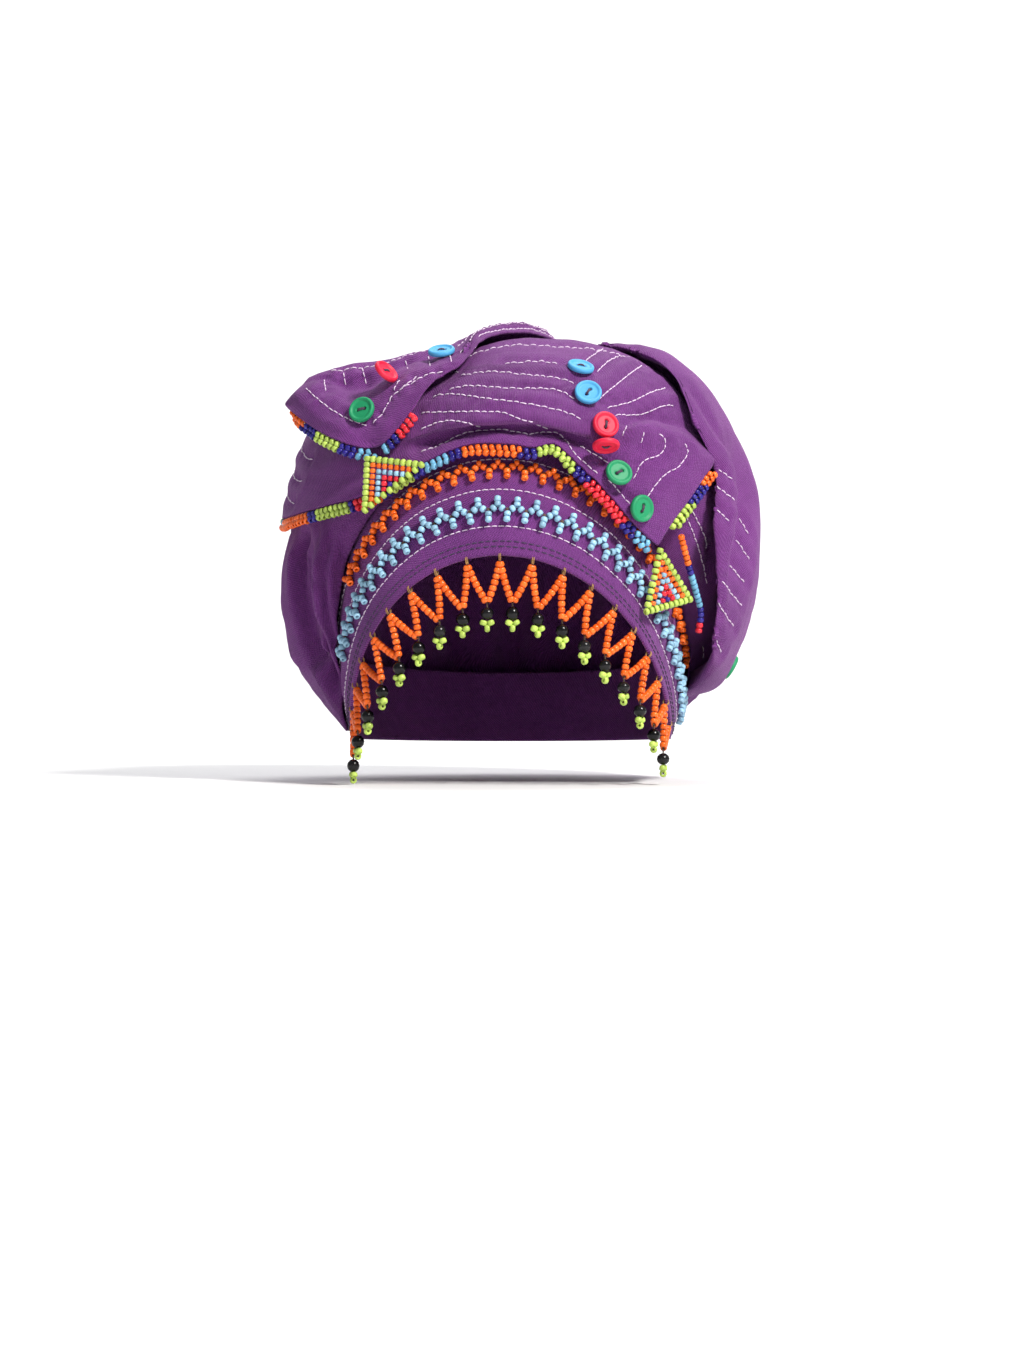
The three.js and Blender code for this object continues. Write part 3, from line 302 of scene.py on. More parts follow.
# Values of several columns at a place, or at several, along a line
def pick(columns, length, place):
    return np.stack([np.interp(place, length, column) for column in columns.T], -1)


# The polyline's points again, at count equal steps of its length
def evenly(points, count):
    length = lengthAlong(points)
    return pick(points, length, np.linspace(0, length[-1], count))


def sheetGrid(rows, across, along, byStation):
    lines = []
    for row in rows:
        fine = curvePoints(overCrown(row), along + 1 if byStation else 600)
        lines.append(fine if byStation else evenly(fine, along + 1))
    return curvePoints(np.array(lines), across + 1)


# Normals of a grid of points, pointing away from the crown's centre
def gridNormals(grid, closed):
    if closed:
        alongRow = np.roll(grid, -1, 1) - np.roll(grid, 1, 1)
    else:
        alongRow = np.gradient(grid, axis=1)
    normals = unit(np.cross(alongRow, np.gradient(grid, axis=0)))
    outward = grid - crown["centre"]
    facing = np.sign((normals * outward).sum())
    flat = np.linalg.norm(normals, axis=-1, keepdims=True) < 0.5
    return np.where(flat, unit(outward), normals * facing)


def onBand(angle, place, out=0.0):
    angle, place = np.broadcast_arrays(np.asarray(angle, float), np.asarray(place, float))
    size = {k: np.interp(place, band["place"], v) for k, v in band.items() if isinstance(v, list)}
    across, forward = np.cos(np.radians(angle)), np.sin(np.radians(angle))
    front, back = np.maximum(forward, 0), np.maximum(-forward, 0)
    ahead, behind = front ** band["roundness"], back ** band["roundness"]
    return np.stack(
        [
            (size["width"] + out) * across + band["frontShift"] * front,
            size["sideDepth"]
            + (size["frontDepth"] - out - size["sideDepth"]) * ahead
            + (size["backDepth"] + out - size["sideDepth"]) * behind,
            size["sideHeight"]
            + (size["frontHeight"] - size["sideHeight"]) * front
            + (size["backHeight"] - size["sideHeight"]) * back,
        ],
        -1,
    )


# Point, way along the row, way up the band and outward normal of the band
def bandFrame(angle, place):
    angle = np.asarray(angle, float)
    point = onBand(angle, place)
    along = unit(onBand(angle + 0.5, place) - onBand(angle - 0.5, place))
    low, high = np.maximum(place - 0.1, 0), np.minimum(place + 0.1, 1.4)
    rise = onBand(angle, high) - onBand(angle, low)
    normal = unit(np.cross(along, rise))
    normal *= np.sign(((point - crown["centre"]) * normal).sum(-1, keepdims=True))
    upward = unit(rise - along * (rise * along).sum(-1, keepdims=True))
    return point, along, upward, normal


latticeSize = 48
lattice = seeded.random((latticeSize,) * 3)


# Smooth noise from -1 to 1 with bumps of about this size
def softNoise(points, size):
    place = points / np.asarray(size, float) + 1000.0
    base = np.floor(place).astype(int)
    part = place - base
    part = part * part * (3 - 2 * part)
    total = np.zeros(points.shape[:-1])
    for corner in range(8):
        step = np.array([corner & 1, corner >> 1 & 1, corner >> 2 & 1])
        weight = np.prod(np.where(step == 1, part, 1 - part), axis=-1)
        i, j, k = np.moveaxis((base + step) % latticeSize, -1, 0)
        total += weight * lattice[i, j, k]
    return total * 2 - 1


# The camera's place and reach, and the picture's middle in pixels
camera = {"place": np.array([-2.7, -1560.0, -58.5]), "reach": 3000.0, "middle": (506.5, 674.5)}


def pixelRay(px, py):
    cx, cy = camera["middle"]
    return unit(np.array([(px - cx) / camera["reach"], 1.0, (cy - py) / camera["reach"]]))


def pixelsOf(points):
    depth = (points[..., 1] - camera["place"][1]) / camera["reach"]
    cx, cy = camera["middle"]
    return np.stack(
        [
            cx + (points[..., 0] - camera["place"][0]) / depth,
            cy - (points[..., 2] - camera["place"][2]) / depth,
        ],
        -1,
    )


# A curve through pixel positions as points about one pixel apart
def pixelLine(points, step=1.0):
    flat = np.array([(x, y, 0.0) for x, y in points])
    if len(flat) > 2:
        flat = curvePoints(flat, 40 * len(flat))
    count = max(2, int(lengthAlong(flat)[-1] / step))
    return evenly(flat, count)[:, :2]


# The bag from its seam on the band to a gathered point at the back of the top
def bagGrid(around, upwards):
    top = towards(crown["topAzimuth"], crown["topElevation"])
    angle = np.arange(around) * 360 / around
    seam = onBand(angle, np.interp(angle, bagSeam["angle"], bagSeam["place"]), bagSeam["lift"])
    fromCentre = seam - crown["centre"]
    seamRadius = np.linalg.norm(fromCentre, axis=-1)
    start = unit(fromCentre)
    axis = unit(np.cross(start, top))
    turn = np.arccos(np.clip(start @ top, -1, 1))
    lines = []
    for rise in np.linspace(0, 1, upwards + 1):
        bend = (turn * rise)[:, None]
        direction = unit(start * np.cos(bend) + np.cross(axis, start) * np.sin(bend))
        plain = crownRadius(direction)
        point = crown["centre"] + direction * plain[:, None]
        height = foldHeights(point) * min(1, rise / bagSeam["tuck"] * 2)
        height = np.maximum(height + gathers(angle, rise), gather["deepest"])
        tuck = max(0, 1 - rise / bagSeam["tuck"]) ** 2
        radius = (plain + height) * (1 - tuck) + seamRadius * tuck
        lines.append(crown["centre"] + direction * radius[:, None])
    return np.array(lines)


gather = {
    "pleats": 44,
    "depth": 4.4,
    "deepest": -8.0,
    "valley": 0.6,
    "foot": (0.07, 0.13),  # where on the way up, and width
    "top": (0.93, 0.2),
    "topShare": 0.7,
}

# Folds pressed into the bag: from, via and to over the crown, then width and height
bagFolds = [
    ((-54, 4), (-60, -14), (-68, -50), 9, 10),
    ((-68, 4), (-70, -18), (-76, -50), 8, -9),
    ((-82, 4), (-80, -18), (-84, -50), 9, 9),
    ((-98, 6), (-94, -18), (-92, -50), 9, -8),
    ((66, 12), (66, -4), (62, -22), 9, -7),
    ((52, 6), (54, -8), (52, -24), 7, 3),
    ((84, 0), (92, -26), (104, -52), 16, 7),
]
backFolds = {"first": 118, "last": 242, "count": 7, "foot": -54, "top": 24, "width": 10, "height": 12}
for aside in np.linspace(backFolds["first"], backFolds["last"], backFolds["count"]) - 180:
    middle = (backFolds["foot"] + backFolds["top"]) / 2
    bagFolds.append(
        (
            (180 + aside * 0.84, backFolds["foot"]),
            (180 + aside * 0.92, middle),
            (180 + aside, backFolds["top"]),
            backFolds["width"],
            backFolds["height"],
        )
    )


# Small uneven pleats where the bag is sewn to the band and where it comes together on top
def gathers(angle, rise):
    turn = np.radians(angle)
    wander = 1.7 * np.sin(3 * turn + 1) + 1.1 * np.sin(7 * turn) + 0.7 * np.sin(13 * turn + 2)
    uneven = 0.65 + 0.35 * np.sin(5 * turn + 0.6)
    pleats = np.abs(np.sin(gather["pleats"] / 2 * turn + wander)) - gather["valley"]
    behind = np.clip((np.abs((angle - 270 + 180) % 360 - 180) - 125) / -20, 0, 1)
    foot, crownward = (bell(rise - middle, width) for middle, width in (gather["foot"], gather["top"]))
    return gather["depth"] * pleats * uneven * (foot * behind + gather["topShare"] * crownward)


def foldHeights(points):
    total = np.zeros(len(points))
    shares = np.linspace(0, 1, 60)[:, None]
    for start, via, end, width, height in bagFolds:
        a, b, c = (overCrown([*at, 0]) for at in (start, via, end))
        pull = b * 2 - a / 2 - c / 2
        line = a * (1 - shares) ** 2 + 2 * pull * shares * (1 - shares) + c * shares**2
        apart = np.linalg.norm(points[:, None] - line[None], axis=-1)
        nearest = apart.argmin(1)
        fade = np.sin(np.pi * nearest / (len(line) - 1))
        total += height * fade * bell(apart.min(1), width)
    return total


# Corners of the faces of a grid, line by line
def gridFaces(lines, count, closed):
    i, j = np.meshgrid(np.arange(lines - 1), np.arange(count if closed else count - 1), indexing="ij")
    k = (j + 1) % count
    corners = [i * count + j, i * count + k, (i + 1) * count + k, (i + 1) * count + j]
    return np.stack(corners, -1).reshape(-1, 4)


def treeOf(grid, closed):
    faces = gridFaces(grid.shape[0], grid.shape[1], closed)
    return BVHTree.FromPolygons(grid.reshape(-1, 3).tolist(), faces.tolist())


# Name, point and normal of the first cloth on the ray through a pixel, or None
def castAll(trees, px, py):
    start, way = Vector(camera["place"]), Vector(pixelRay(px, py))
    best = None
    for name, tree in trees.items():
        point, normal, _, reach = tree.ray_cast(start, way)
        if point is not None and (best is None or reach < best[3]):
            if normal.dot(way) > 0:
                normal = -normal
            best = (name, np.array(point), np.array(normal), reach)
    return best


# Runs of (name, points, normals) where a pixel line falls on one cloth without a break
def castLine(trees, pixels, jump=7.0):
    runs = []
    for px, py in pixels:
        found = castAll(trees, px, py)
        if found is None:
            runs.append(None)
            continue
        name, point, normal, _ = found
        last = runs[-1] if runs else None
        if last is None or last[0] != name or np.linalg.norm(last[1][-1] - point) > jump:
            runs.append((name, [], []))
        runs[-1][1].append(point)
        runs[-1][2].append(normal)
    return [(n, np.array(p), np.array(m)) for n, p, m in filter(None, runs) if len(p) > 3]


# Grid points further than the margin from a line count as this far away
farAway = {"margin": 16, "distance": 1e3}


# Distance from each grid point to a polyline, and how far along it the nearest point is
def nearness(grid, line):
    flat = grid.reshape(-1, 3)
    low, high = line.min(0) - farAway["margin"], line.max(0) + farAway["margin"]
    near = np.all((flat > low) & (flat < high), axis=1)
    distance = np.full(len(flat), farAway["distance"])
    along = np.zeros(len(flat))
    if near.any():
        apart = np.linalg.norm(flat[near][:, None] - line[None], axis=-1)
        nearest = apart.argmin(1)
        distance[near] = apart[np.arange(len(nearest)), nearest]
        along[near] = lengthAlong(line)[nearest]
    return distance.reshape(grid.shape[:2]), along.reshape(grid.shape[:2])


# One cloth: its grid, whether it closes on itself, how it is held, what it rests on, and its wrinkles
def newCloth(grid, held, rests, wrinkle, wrinkleSize, closed=False):
    return {
        "grid": grid, "held": held, "rests": rests, "closed": closed,
        "wrinkle": wrinkle, "wrinkleSize": wrinkleSize,
    }


bandRings = np.array([onBand(np.arange(300) * 1.2, place) for place in np.linspace(0, 1.4, 33)])
onTop = ["front_cloth", "crown_bag"]
cloths = {
    "front_cloth": newCloth(
        sheetGrid(frontClothRows, 120, 230, False), "folded", ["crown_bag", "brim_band"], 0.8, (24, 24, 10)
    ),
    "folded_corner": newCloth(
        sheetGrid(foldedCornerRows, 96, 200, True), "folded", onTop, 0.8, (18, 18, 9)
    ),
    "side_roll": newCloth(sheetGrid(sideRollRows, 90, 190, True), "folded", onTop, 0.8, (18, 18, 34)),
    "crown_bag": newCloth(bagGrid(330, 100), "gathered", ["brim_band"], 1.5, (9, 9, 40), True),
    "brim_band": newCloth(bandRings, "draped", ["crown_bag"], 0.35, (16, 16, 10), True),
}


def clothTrees():
    return {name: treeOf(cloth["grid"], cloth["closed"]) for name, cloth in cloths.items()}


# Deep creases and soft ridges seen in the photo, in pixels, with width and height in millimetres
creases = [
    ("folded_corner", [(420, 430), (428, 408), (440, 388), (470, 367), (500, 351)], 3.4, -3.4),
    ("front_cloth", [(420, 442), (443, 437), (477, 428), (512, 428), (546, 429), (592, 442)], 2.8, -2.6),
    ("front_cloth", [(440, 431), (470, 424), (505, 424), (540, 427)], 3.5, 1.2),
    ("front_cloth", [(614, 424), (630, 419), (650, 416), (676, 424)], 3.4, -3.2),
    ("front_cloth", [(600, 455), (612, 470), (622, 490), (634, 505)], 3.4, -2.0),
    ("side_roll", [(662, 392), (684, 430), (703, 462)], 5.0, 2.0),
    ("side_roll", [(690, 384), (712, 420), (728, 446)], 4.0, -2.2),
    ("crown_bag", [(297, 540), (299, 600), (315, 660), (349, 724)], 5.0, 5.0),
    ("crown_bag", [(308, 532), (303, 580), (312, 630), (332, 690), (349, 722)], 3.6, -8.0),
    ("crown_bag", [(318, 528), (309, 566), (308, 600), (324, 660), (350, 720)], 3.8, 4.0),
    ("crown_bag", [(322, 532), (313, 575), (317, 620), (334, 680), (351, 720)], 3.0, -7.0),
    ("crown_bag", [(326, 534), (318, 575), (326, 633), (351, 717)], 3.2, 4.0),
    ("crown_bag", [(332, 536), (323, 575), (331, 633), (351, 715)], 2.8, -6.0),
    ("crown_bag", [(337, 534), (329, 572), (335, 640), (352, 712)], 3.2, 3.5),
    ("crown_bag", [(344, 540), (338, 575), (341, 620), (350, 668)], 3.0, -5.0),
]


edgeLines = 9  # lines of the grid over which creases and wrinkles fade in
creaseEnds = 8  # length over which a crease fades at both ends


# 0 at the cloth's own edges, rising to 1 a few lines in
def edgeFade(cloth):
    lines, count = cloth["grid"].shape[:2]
    i = np.minimum(np.arange(lines), np.arange(lines)[::-1])[:, None] / edgeLines
    j = np.minimum(np.arange(count), np.arange(count)[::-1])[None] / edgeLines
    return np.clip(i if cloth["closed"] else np.minimum(i, j), 0, 1)


def smoothNoiseField(cloth, seed):
    grid = cloth["grid"]
    rough = softNoise(grid + seed * 31.7, cloth["wrinkleSize"])
    finer = softNoise(grid + seed * 11.3, np.array(cloth["wrinkleSize"]) * 0.42)
    return cloth["wrinkle"] * (rough + 0.5 * finer) * edgeFade(cloth)


def shapeCloths():
    trees = clothTrees()
    for seed, (name, cloth) in enumerate(cloths.items()):
        cloth["lift"] = smoothNoiseField(cloth, seed)
    for name, pixels, width, height in creases:
        runs = castLine({name: trees[name]}, pixelLine(pixels, 2))
        for _, points, _ in sorted(runs, key=lambda run: len(run[1]))[-1:]:
            distance, along = nearness(cloths[name]["grid"], points)
            fade = np.clip(along / creaseEnds, 0, 1) * np.clip((along.max() - along) / creaseEnds, 0, 1)
            shape = bell(distance, width) * (0.25 + 0.75 * fade)
            cloths[name]["lift"] += height * shape
    for cloth in cloths.values():
        normals = gridNormals(cloth["grid"], cloth["closed"])
        cloth["grid"] = cloth["grid"] + normals * cloth["lift"][..., None]


shapeCloths()
print("cloth shaped")

# Running stitches seen in the photo, in pixels
stitchPixels = [
    [(420, 451), (443, 442), (460, 434), (477, 430), (506, 429), (529, 433), (546, 431), (558, 433),
     (568, 442), (575, 453), (586, 463), (599, 474)],
    [(609, 479), (633, 507)],
    [(640, 510), (649, 495), (665, 475), (681, 465), (689, 449), (684, 441)],
    [(580, 445), (609, 463), (626, 478)],
    [(634, 478), (644, 461), (661, 454), (666, 446), (666, 439), (657, 431)],
    [(627, 425), (624, 432), (622, 440)],
    [(645, 431), (640, 448)],
    [(504, 362), (540, 360), (562, 363)],
    [(586, 359), (609, 344)],
    [(460, 374), (489, 370), (523, 373), (558, 377), (578, 383)],
    [(598, 370), (612, 358), (637, 352)],
    [(448, 388), (466, 385), (506, 387), (558, 389), (577, 399)],
    [(598, 400), (614, 386), (644, 364), (650, 364)],
    [(431, 396), (446, 393), (489, 398), (535, 404), (569, 412), (585, 420)],
    [(608, 407), (632, 401), (655, 390), (667, 387)],
    [(420, 412), (460, 411), (503, 412), (521, 419), (549, 429)],
    [(616, 414), (642, 414), (665, 405), (678, 405)],
    [(420, 429), (437, 422), (454, 420), (477, 426), (487, 427)],
    [(305, 387), (321, 401), (337, 412), (353, 420), (366, 425)],
    [(372, 423), (382, 412), (393, 394), (409, 383), (426, 374), (442, 371), (460, 371)],
    [(393, 390), (401, 375)],
    [(401, 388), (417, 374)],
    [(324, 378), (326, 392)],
    [(343, 371), (346, 388)],
    [(362, 367), (366, 385)],
    [(383, 362), (386, 376)],
    [(405, 359), (408, 370)],
    [(428, 355), (430, 366)],
    [(449, 351), (452, 364)],
    [(718, 468), (737, 481)],
    [(713, 483), (740, 502)],
    [(717, 509), (734, 524)],
    [(740, 517), (751, 537)],
    [(737, 539), (751, 560)],
    [(730, 564), (746, 583)],
    [(723, 581), (743, 606)],
    [(718, 602), (736, 628)],
    [(715, 634), (723, 655)],
    [(704, 647), (704, 665)],
    [(686, 515), (696, 539), (704, 565), (708, 586)],
    [(693, 511), (705, 536), (708, 553)],
]

# Running stitches out of the photo's sight: cloth, then grid shares across and along at both ends
stitchShares = [
    ("front_cloth", 0.09, 0.0, 0.09, 0.22),
    ("front_cloth", 0.19, 0.0, 0.19, 0.22),
    ("front_cloth", 0.30, 0.0, 0.30, 0.2),
    ("front_cloth", 0.42, 0.0, 0.42, 0.2),
    ("front_cloth", 0.54, 0.0, 0.54, 0.2),
    ("front_cloth", 0.70, 0.05, 0.70, 0.95),
    ("front_cloth", 0.79, 0.05, 0.79, 0.95),
    ("front_cloth", 0.88, 0.05, 0.88, 0.95),
    ("front_cloth", 0.965, 0.03, 0.965, 0.97),
    ("folded_corner", 0.14, 0.72, 0.14, 0.99),
    ("folded_corner", 0.32, 0.66, 0.32, 0.99),
    ("folded_corner", 0.5, 0.6, 0.5, 0.99),
    ("folded_corner", 0.66, 0.05, 0.66, 0.99),
    ("folded_corner", 0.82, 0.04, 0.82, 0.98),
]
for place in np.linspace(0.3, 0.88, 9):
    stitchShares.append(("side_roll", 0.8, place, 0.97, place + 0.05))

# Running stitches round the band: place, first and last angle
bandStitches = [(0.33, -60, 240), (0.76, -60, 240), (1.13, -20, 200)]
hemPlaces = (0.1, 0.16)
dash = {"length": 2.9, "gap": 0.6, "radius": 0.28, "arch": 0.36}


# Every stitch line as (cloth, points, normals)
def seamPaths(trees):
    paths = []
    for pixels in stitchPixels:
        paths += castLine(trees, pixelLine(pixels), 5.0)
    for name, i0, j0, i1, j1 in stitchShares:
        grid = cloths[name]["grid"]
        normals = gridNormals(grid, False)
        i = np.linspace(i0, i1, 240) * (grid.shape[0] - 1)
        j = np.linspace(j0, j1, 240) * (grid.shape[1] - 1)
        at = (np.round(i).astype(int), np.round(j).astype(int))
        points = grid[at]
        kernel = np.ones(9) / 9
        smooth = np.stack([np.convolve(points[:, k], kernel, "valid") for k in range(3)], -1)
        paths.append((name, smooth, normals[at][4:-4]))
    for place, first, last in bandStitches:
        angle = np.linspace(first, last, 500)
        points, _, _, normals = bandFrame(angle, place)
        paths.append(("brim_band", points, normals))
    return [path for path in paths if lengthAlong(path[1])[-1] > dash["length"] * 1.2]


# The seams just above the hem: stitched lines in a plum thread darker than the cloth, which also paints
# the shade of the hem tucks
def hemSeamShadeLines():
    return [bandFrame(np.linspace(-90, 270, 700), place)[::3] for place in hemPlaces]


puckers = {
    "depth": 1.35,
    "bandDepth": 0.4,
    "line": 1.5,  # width of the narrow crease under the thread
    "dent": 3.4,  # width of the deeper dents that come and go
    "beat": 7.3,  # from dent to dent
    "swell": (6.5, 2.6),  # distance from the line, and width
    "rise": 0.3,
}


# Draws the cloth in along its stitch lines and lets it swell beside them
def pucker(paths):
    for name, cloth in cloths.items():
        drawn = np.zeros(cloth["grid"].shape[:2])
        swell = np.zeros_like(drawn)
        for on, points, _ in paths:
            if on != name:
                continue
            distance, along = nearness(cloth["grid"], points[::2])
            turn = 2 * np.pi * along / puckers["beat"] + softNoise(cloth["grid"], 9) * 2.5
            beat = 0.62 + 0.38 * np.cos(turn)
            drawn = np.maximum(drawn, 0.55 * bell(distance, puckers["line"]))
            drawn = np.maximum(drawn, beat * bell(distance, puckers["dent"]))
            apart, width = puckers["swell"]
            swell = np.maximum(swell, bell(distance - apart, width))
        depth = puckers["bandDepth" if name == "brim_band" else "depth"]
        cloth["grid"] = cloth["grid"] + gridNormals(cloth["grid"], cloth["closed"]) * (
            puckers["rise"] * swell * depth - depth * drawn
        )[..., None]


# The points moved along their normals to the cloth's outer face
def onto(tree, points, normals):
    seated = []
    for point, normal in zip(points, normals):
        start = Vector(point + normal * 3)
        found, _, _, _ = tree.ray_cast(start, Vector(-normal), 8.0)
        seated.append(np.array(found) if found is not None else point)
    return np.array(seated)


paths = seamPaths(clothTrees())
pucker(paths)
trees = clothTrees()
print("stitch lines drawn in", len(paths))


# Points and four-sided faces of many small shapes that make one piece
class Heap:
    def __init__(self):
        self.points, self.faces, self.finish, self.count = [], [], [], 0

    def add(self, points, faces, finish=0):
        self.points.append(points)
        self.faces.append(faces + self.count)
        self.finish.append(np.full(len(faces), finish))
        self.count += len(points)

    # A six-sided tube along points, closed at both ends
    def tube(self, points, radii, finish=0):
        points = np.asarray(points, float)
        radii = np.broadcast_to(np.asarray(radii, float), (len(points),))
        ways = unit(np.gradient(points, axis=0))
        aside = unit(np.cross(ways, [0.31, 0.22, 0.93]))
        over = np.cross(ways, aside)
        turn = np.arange(6) * np.pi / 3
        ring = aside[:, None] * np.cos(turn)[:, None] + over[:, None] * np.sin(turn)[:, None]
        body = points[:, None] + ring * radii[:, None, None]
        faces = gridFaces(len(points), 6, True)
        last = (len(points) - 1) * 6
        caps = [[3, 2, 1, 0], [5, 4, 3, 0], [last, last + 1, last + 2, last + 3],
                [last, last + 3, last + 4, last + 5]]
        self.add(body.reshape(-1, 3), np.concatenate([faces[:, ::-1], caps]), finish)


def dashes(heap, points, normals, tree, finish=0):
    length = lengthAlong(points)
    seated = onto(tree, points, normals)
    arch = np.array([-0.25, 0.12, dash["arch"], 0.12, -0.25])[:, None]
    radii = dash["radius"] * np.array([0.5, 1, 1.1, 1, 0.5])
    start = dash["gap"] / 2
    while start + dash["length"] < length[-1]:
        size = dash["length"] * (0.85 + 0.3 * seeded.random())
        place = start + np.array([0, 0.12, 0.5, 0.88, 1]) * size
        out = unit(pick(normals, length, place))
        heap.tube(pick(seated, length, place) + out * arch, radii, finish)
        start += size + dash["gap"] * (0.8 + 0.4 * seeded.random())

# Bead outlines as shares of radius and half length, from the hole round the outside
beadShape = [(0.34, -0.7), (0.66, -1), (0.93, -0.7), (1, -0.25),
             (1, 0.25), (0.93, 0.7), (0.66, 1), (0.34, 0.7)]
ballShape = [(0.12, -0.98), (0.5, -0.87), (0.87, -0.5), (1, 0),
             (0.87, 0.5), (0.5, 0.87), (0.12, 0.98), (0.1, 0)]
beadColours = {
    "orange": (1.0, 0.145, 0.012),
    "navy": (0.022, 0.014, 0.22),
    "lime": (0.46, 0.62, 0.11),
    "sky": (0.30, 0.53, 0.70),
    "blue": (0.15, 0.40, 0.60),
    "red": (0.82, 0.025, 0.045),
    "black": (0.0012, 0.001, 0.0015),
    "thread": (0.10, 0.045, 0.02),
    "gold": (0.42, 0.22, 0.06),
}
colourNames = list(beadColours)
seedBead = {"radius": 1.75, "half": 1.3, "sides": 11, "lean": 0.06, "spread": 0.025}


class Beads(Heap):
    def __init__(self):
        super().__init__()
        self.strung = []

    def bead(self, point, axis, colour, radius=seedBead["radius"], half=seedBead["half"], shape=beadShape):
        self.strung.append((point, axis, colourNames.index(colour), radius, half, shape))

    def thread(self, points, radius, colour="thread"):
        self.tube(points, radius, colourNames.index(colour))

    # Turns what is strung into mesh, the seed beads before the round ones
    def fill(self):
        sides, spread = seedBead["sides"], seedBead["spread"]
        turn = np.arange(sides) * 2 * np.pi / sides
        for shape in (beadShape, ballShape):
            flat = np.array([(r * np.cos(t), r * np.sin(t), z) for r, z in shape for t in turn])
            faces = gridFaces(len(shape) + 1, sides, True) % len(flat)
            for point, axis, finish, radius, half, own in self.strung:
                if own is not shape:
                    continue
                axis = unit(np.asarray(axis) + seeded.normal(0, seedBead["lean"], 3))
                aside = unit(np.cross(axis, [0.21, 0.53, 0.82]))
                over = np.cross(axis, aside)
                radius = radius * (1 + seeded.normal(0, spread))
                half = half * (1 + seeded.normal(0, spread * 2))
                body = (
                    point
                    + flat[:, :1] * radius * aside
                    + flat[:, 1:2] * radius * over
                    + flat[:, 2:] * half * axis
                )
                self.add(body, faces, finish)
        return self


zigzag = {
    "tooth": 9.1,  # step between stems
    "height": 1.95,  # beads' middles over the band
    "stem": (-4.9, -2.1),
    "arm": (0.27, 0.75),  # share of the step aside, and height up the band
    "tilt": 0.9,  # rise of an arm's beads
    "peak": (3.0, 2.7),  # first bead of a peak, and the step to the next
    "knot": (-0.2, 0.8, 1.2),  # height up the band, radius and half length
    "sink": 0.004,
    "margin": 0.6,
    "wander": 0.15,
}


# A zigzag row: stems towards the hem and arms that rise to peaks between them
def bandBeads(place, firstAngle, lastAngle, colour, peaks):
    beads = Beads()
    angles = np.linspace(firstAngle, lastAngle, 900)
    length = lengthAlong(onBand(angles, place))
    teeth = round(length[-1] / zigzag["tooth"])
    pitch = length[-1] / teeth

    def at(s, t):
        angle = float(np.interp(s, length, angles))
        point, along, upward, normal = bandFrame(np.array([angle]), place)
        seat = point[0] + upward[0] * t + normal[0] * zigzag["height"]
        return seat, along[0], upward[0]

    aside, rise = zigzag["arm"]
    knot, *knotSize = zigzag["knot"]
    for tooth in range(teeth):
        middle = (tooth + 0.5) * pitch
        for t in zigzag["stem"]:
            seat, along, upward = at(middle + seeded.normal(0, zigzag["wander"]), t)
            beads.bead(seat, upward, colour)
        for side in (-1, 1):
            seat, along, upward = at(middle + side * pitch * aside, rise)
            beads.bead(seat, along * side + upward * zigzag["tilt"], colour)
        seat, along, upward = at(middle, knot)
        beads.bead(seat - (seat - crown["centre"]) * zigzag["sink"], upward, "thread", *knotSize)
    base, step = zigzag["peak"]
    low, high = zigzag["margin"], length[-1] - zigzag["margin"]
    for tooth in range(teeth + 1):
        for peak in range(peaks):
            seat, along, upward = at(np.clip(tooth * pitch, low, high), base + step * peak)
            beads.bead(seat, along if peaks == 1 else upward, colour)
    return beads


# Runs of one colour along the trims, as pixel positions of both ends
trimColours = [
    (285, 548, 289, 542, "blue"), (289, 536, 308, 519, "orange"), (311, 518, 315, 516, "navy"),
    (318, 514, 347, 505, "lime"), (350, 503, 353, 502, "navy"), (357, 501, 362, 499, "red"),
    (366, 498, 380, 492, "orange"), (384, 490, 390, 487, "navy"), (394, 484, 412, 475, "lime"),
    (415, 473, 421, 471, "navy"), (426, 469, 447, 459, "blue"), (451, 456, 461, 453, "navy"),
    (466, 451, 514, 453, "orange"), (520, 456, 531, 456, "navy"), (539, 455, 553, 448, "lime"),
    (553, 448, 571, 465, "lime"), (575, 465, 586, 482, "navy"), (589, 484, 622, 520, "red"),
    (625, 522, 634, 534, "navy"), (636, 535, 654, 559, "blue"), (659, 555, 667, 546, "blue"),
    (667, 543, 671, 538, "navy"), (672, 533, 693, 506, "lime"), (692, 500, 702, 489, "navy"),
    (702, 484, 715, 469, "orange"), (715, 469, 703, 450, "orange"),
    (284, 415, 299, 427, "orange"), (301, 429, 312, 436, "navy"), (316, 438, 338, 448, "lime"),
    (342, 449, 352, 452, "navy"), (356, 453, 372, 456, "blue"), (380, 453, 387, 446, "blue"),
    (390, 443, 396, 436, "navy"), (399, 433, 415, 415, "red"),
]
# Colours in turn where a trim is out of the photo's sight
colourRun = ["orange"] * 5 + ["navy"] * 2 + ["lime"] * 4 + ["navy"] * 2 + ["blue"] * 4 + ["navy"] * 2
trim = {
    "pitch": 3.45,
    "out": (2.15, 2.95),  # first row from the edge, and the step to the second
    "start": 0.35,
    "sink": 1.4,
    "wander": 0.12,
    "reach": 1.5,  # length either side that gives the way along
    "tilt": (-0.35, 0.55),
    "size": (1.8, 1.25),
    "thread": 0.42,
    "colourReach": 13.0,
}


def trimColour(point, order):
    pixel = pixelsOf(point)
    best, chosen = trim["colourReach"], None
    for *ends, colour in trimColours:
        start, end = np.array(ends, float).reshape(2, 2)
        way = end - start
        share = np.clip((pixel - start) @ way / (way @ way), 0, 1)
        distance = np.linalg.norm(start + way * share - pixel)
        if distance < best:
            best, chosen = distance, colour
    return chosen or colourRun[order % len(colourRun)]


